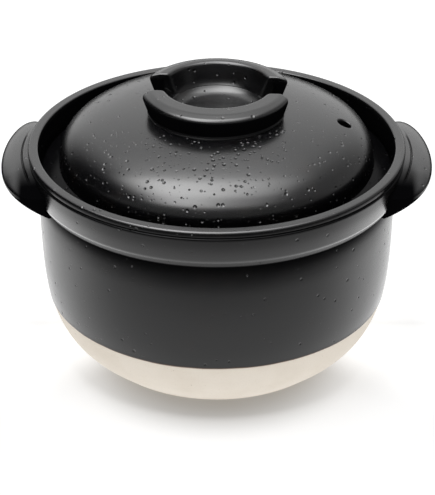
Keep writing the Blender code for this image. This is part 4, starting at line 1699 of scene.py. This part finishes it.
@dataclass(frozen=True)
class Studio:
    """A white floor and backdrop, one soft lamp above, and the room that gloss shows.

    A Span tells where something starts and where it is full: across or along the floor in metres,
    or as the sine of the direction from the pot.
    """

    in_gloss: SeenInGloss = SeenInGloss()
    floor_size: float = 6.0
    paper: float = 0.50
    glow: float = 0.52
    # Painted shadow: the glow is left out of a disc a little in front of the pot; painted light: extra
    # glow beside it.
    glow_from: Span = (0.047, 0.093)
    painted_shadow_forward: float = 0.029
    painted_light_beside: float = 0.30
    front_side_turn: Span = (0.62, 0.25)
    front_side_y: Span = (0.030, 0.0)
    rear_side_x: Span = (0.080, 0.105)
    rear_side_y: Span = (-0.010, 0.020)
    rear_side_end: Span = (0.22, 0.12)
    glow_far: float = 0.25
    far: Span = (0.16, 0.34)
    bounce: float = 0.94
    fill: float = 0.25
    low_fill: float = 1.04
    low: Span = (0.50, 0.15)
    lamp_power: float = 10.5
    lamp_size: float = 0.42
    lamp_place: tuple[float, float, float] = (-0.05, -0.19, 1.25)

    def floor_glow(self, x: Value, y: Value) -> Value:
        """How much the floor glows: a painted shadow before the pot, painted light beside it, more
        away.
        """
        from_pot = (x * x + y * y).root()
        from_painted_shadow = (x * x + (y + self.painted_shadow_forward) ** 2.0).root()
        towards_front = y * -1.0 / from_pot
        front_side = towards_front.rise(*self.front_side_turn) * y.rise(*self.front_side_y)
        rear_side = x.size().rise(*self.rear_side_x) * y.rise(*self.rear_side_y)
        beside = front_side.or_more(rear_side * y.rise(*self.rear_side_end))
        # Painted shadow in the disc without glow, and painted light beside the pot over its real
        # shadow.
        glow = self.glow * from_painted_shadow.rise(*self.glow_from) + self.painted_light_beside * beside
        return glow + self.glow_far * from_pot.rise(*self.far)

    def make_floor(self) -> None:
        """Adds the pale floor, which takes the pot's shadow, partly painted by its glow, and is white
        away from it.
        """
        half = self.floor_size / 2.0
        corners = [(-half, -half, 0.0), (half, -half, 0.0), (half, half, 0.0), (-half, half, 0.0)]
        mesh = bpy.data.meshes.new("studio_floor")
        mesh.from_pydata(corners, [], [(0, 1, 2, 3)])
        floor = bpy.data.objects.new("studio_floor", mesh)
        bpy.context.scene.collection.objects.link(floor)
        material, nodes = new_material("studio_floor_paper")
        x, y, _ = nodes.split(nodes.place())
        gloss, seen, through = (nodes.ray(kind) for kind in ("Glossy", "Camera", "Transmission"))
        paper = nodes.add("ShaderNodeBsdfDiffuse", {}, {"Color": (self.paper,) * 3 + (1.0,)})
        glow = nodes.glow(self.floor_glow(x, y))
        shown = nodes.add("ShaderNodeAddShader", {}, {0: paper, 1: glow})
        level = gloss * self.in_gloss.on_floor(x, y) + (1.0 - gloss) * self.bounce
        given = nodes.glow(level)
        nodes.shown(nodes.add("ShaderNodeMixShader", {}, {0: seen + through, 1: given, 2: shown}))
        mesh.materials.append(material)

    def make_world(self) -> None:
        """Adds the world: white to the camera, a soft fill for matt surfaces, the room for gloss."""
        world = bpy.data.worlds.new("studio_world")
        bpy.context.scene.world = world
        world.use_nodes = True
        nodes = Nodes(world.node_tree)
        x, y, z = nodes.split(nodes.add("ShaderNodeTexCoord", {}, {}, "Generated"))
        gloss, seen, through = (nodes.ray(kind) for kind in ("Glossy", "Camera", "Transmission"))
        matt = self.fill + self.low_fill * z.rise(*self.low)
        level = seen + through + gloss * self.in_gloss.in_room(x, y, z)
        level = level + (1.0 - seen - through - gloss) * matt
        sky = nodes.add("ShaderNodeBackground", {}, {"Color": WHITE, "Strength": level})
        nodes.add("ShaderNodeOutputWorld", {}, {"Surface": sky})

    def make_lamp(self) -> None:
        """Adds the soft lamp above the pot, which gives the shadow on the floor."""
        light = bpy.data.lights.new("studio_softbox", "AREA")
        light.shape = "SQUARE"
        light.size = self.lamp_size
        light.energy = self.lamp_power
        lamp = bpy.data.objects.new("studio_softbox", light)
        lamp.location = self.lamp_place
        lamp.visible_glossy = False
        bpy.context.scene.collection.objects.link(lamp)

    def make(self) -> None:
        """Adds the floor, the world and the lamp, and sets the plain view transform."""
        self.make_floor()
        self.make_world()
        self.make_lamp()
        bpy.context.scene.view_settings.view_transform = "Standard"
        log.info("studio: fill %.2f, lamp %.1f W", self.fill, self.lamp_power)


@dataclass(frozen=True)
class Glazes:
    """The finishes of the pot, each made once."""

    pot: BlackGlaze = BlackGlaze("glaze_on_pot", glaze_line=True)
    ear: BlackGlaze = BlackGlaze("glaze_on_ears", throwing_lines=0.000004)
    lid: BlackGlaze = BlackGlaze("glaze_on_outer_lid", pit_share=0.12, front_pits=0.85)
    grip: BlackGlaze = BlackGlaze("glaze_on_grip", throwing_lines=0.000006, pit_share=0.16)
    inner: BlackGlaze = BlackGlaze("glaze_on_inner_lid")
    clay: BareClay = BareClay("bare_clay_on_foot")


def main() -> None:
    """Loads the frame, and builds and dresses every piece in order."""
    logging.basicConfig(level=logging.INFO, format="%(message)s")
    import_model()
    PhotoCamera().make()
    Studio().make()
    glazes = Glazes()
    form = PotForm()
    pot = PotBody(form)
    pot.glazed(glazes.pot.make())
    pot.clay_foot(glazes.clay.make())
    ear_glaze = glazes.ear.make()
    for side in Side:
        EarHandle(form, side).make(ear_glaze)
    dome = DomeForm(form)
    well = GripWell(dome)
    OuterLid(dome, well).make(glazes.lid.make())
    grip_glaze = glazes.grip.make()
    GripArc(dome, well, Arc.FRONT, cut=0.0072, corner=0.0060, inner_corner=0.0055).make(grip_glaze)
    GripArc(dome, well, Arc.REAR, cut=0.0150, corner=0.0018, inner_corner=0.0030).make(grip_glaze)
    inner = InnerLid(form)
    inner_glaze = glazes.inner.make()
    inner.make(inner_glaze)
    inner.make_knob(inner_glaze)


if __name__ == "__main__":
    main()
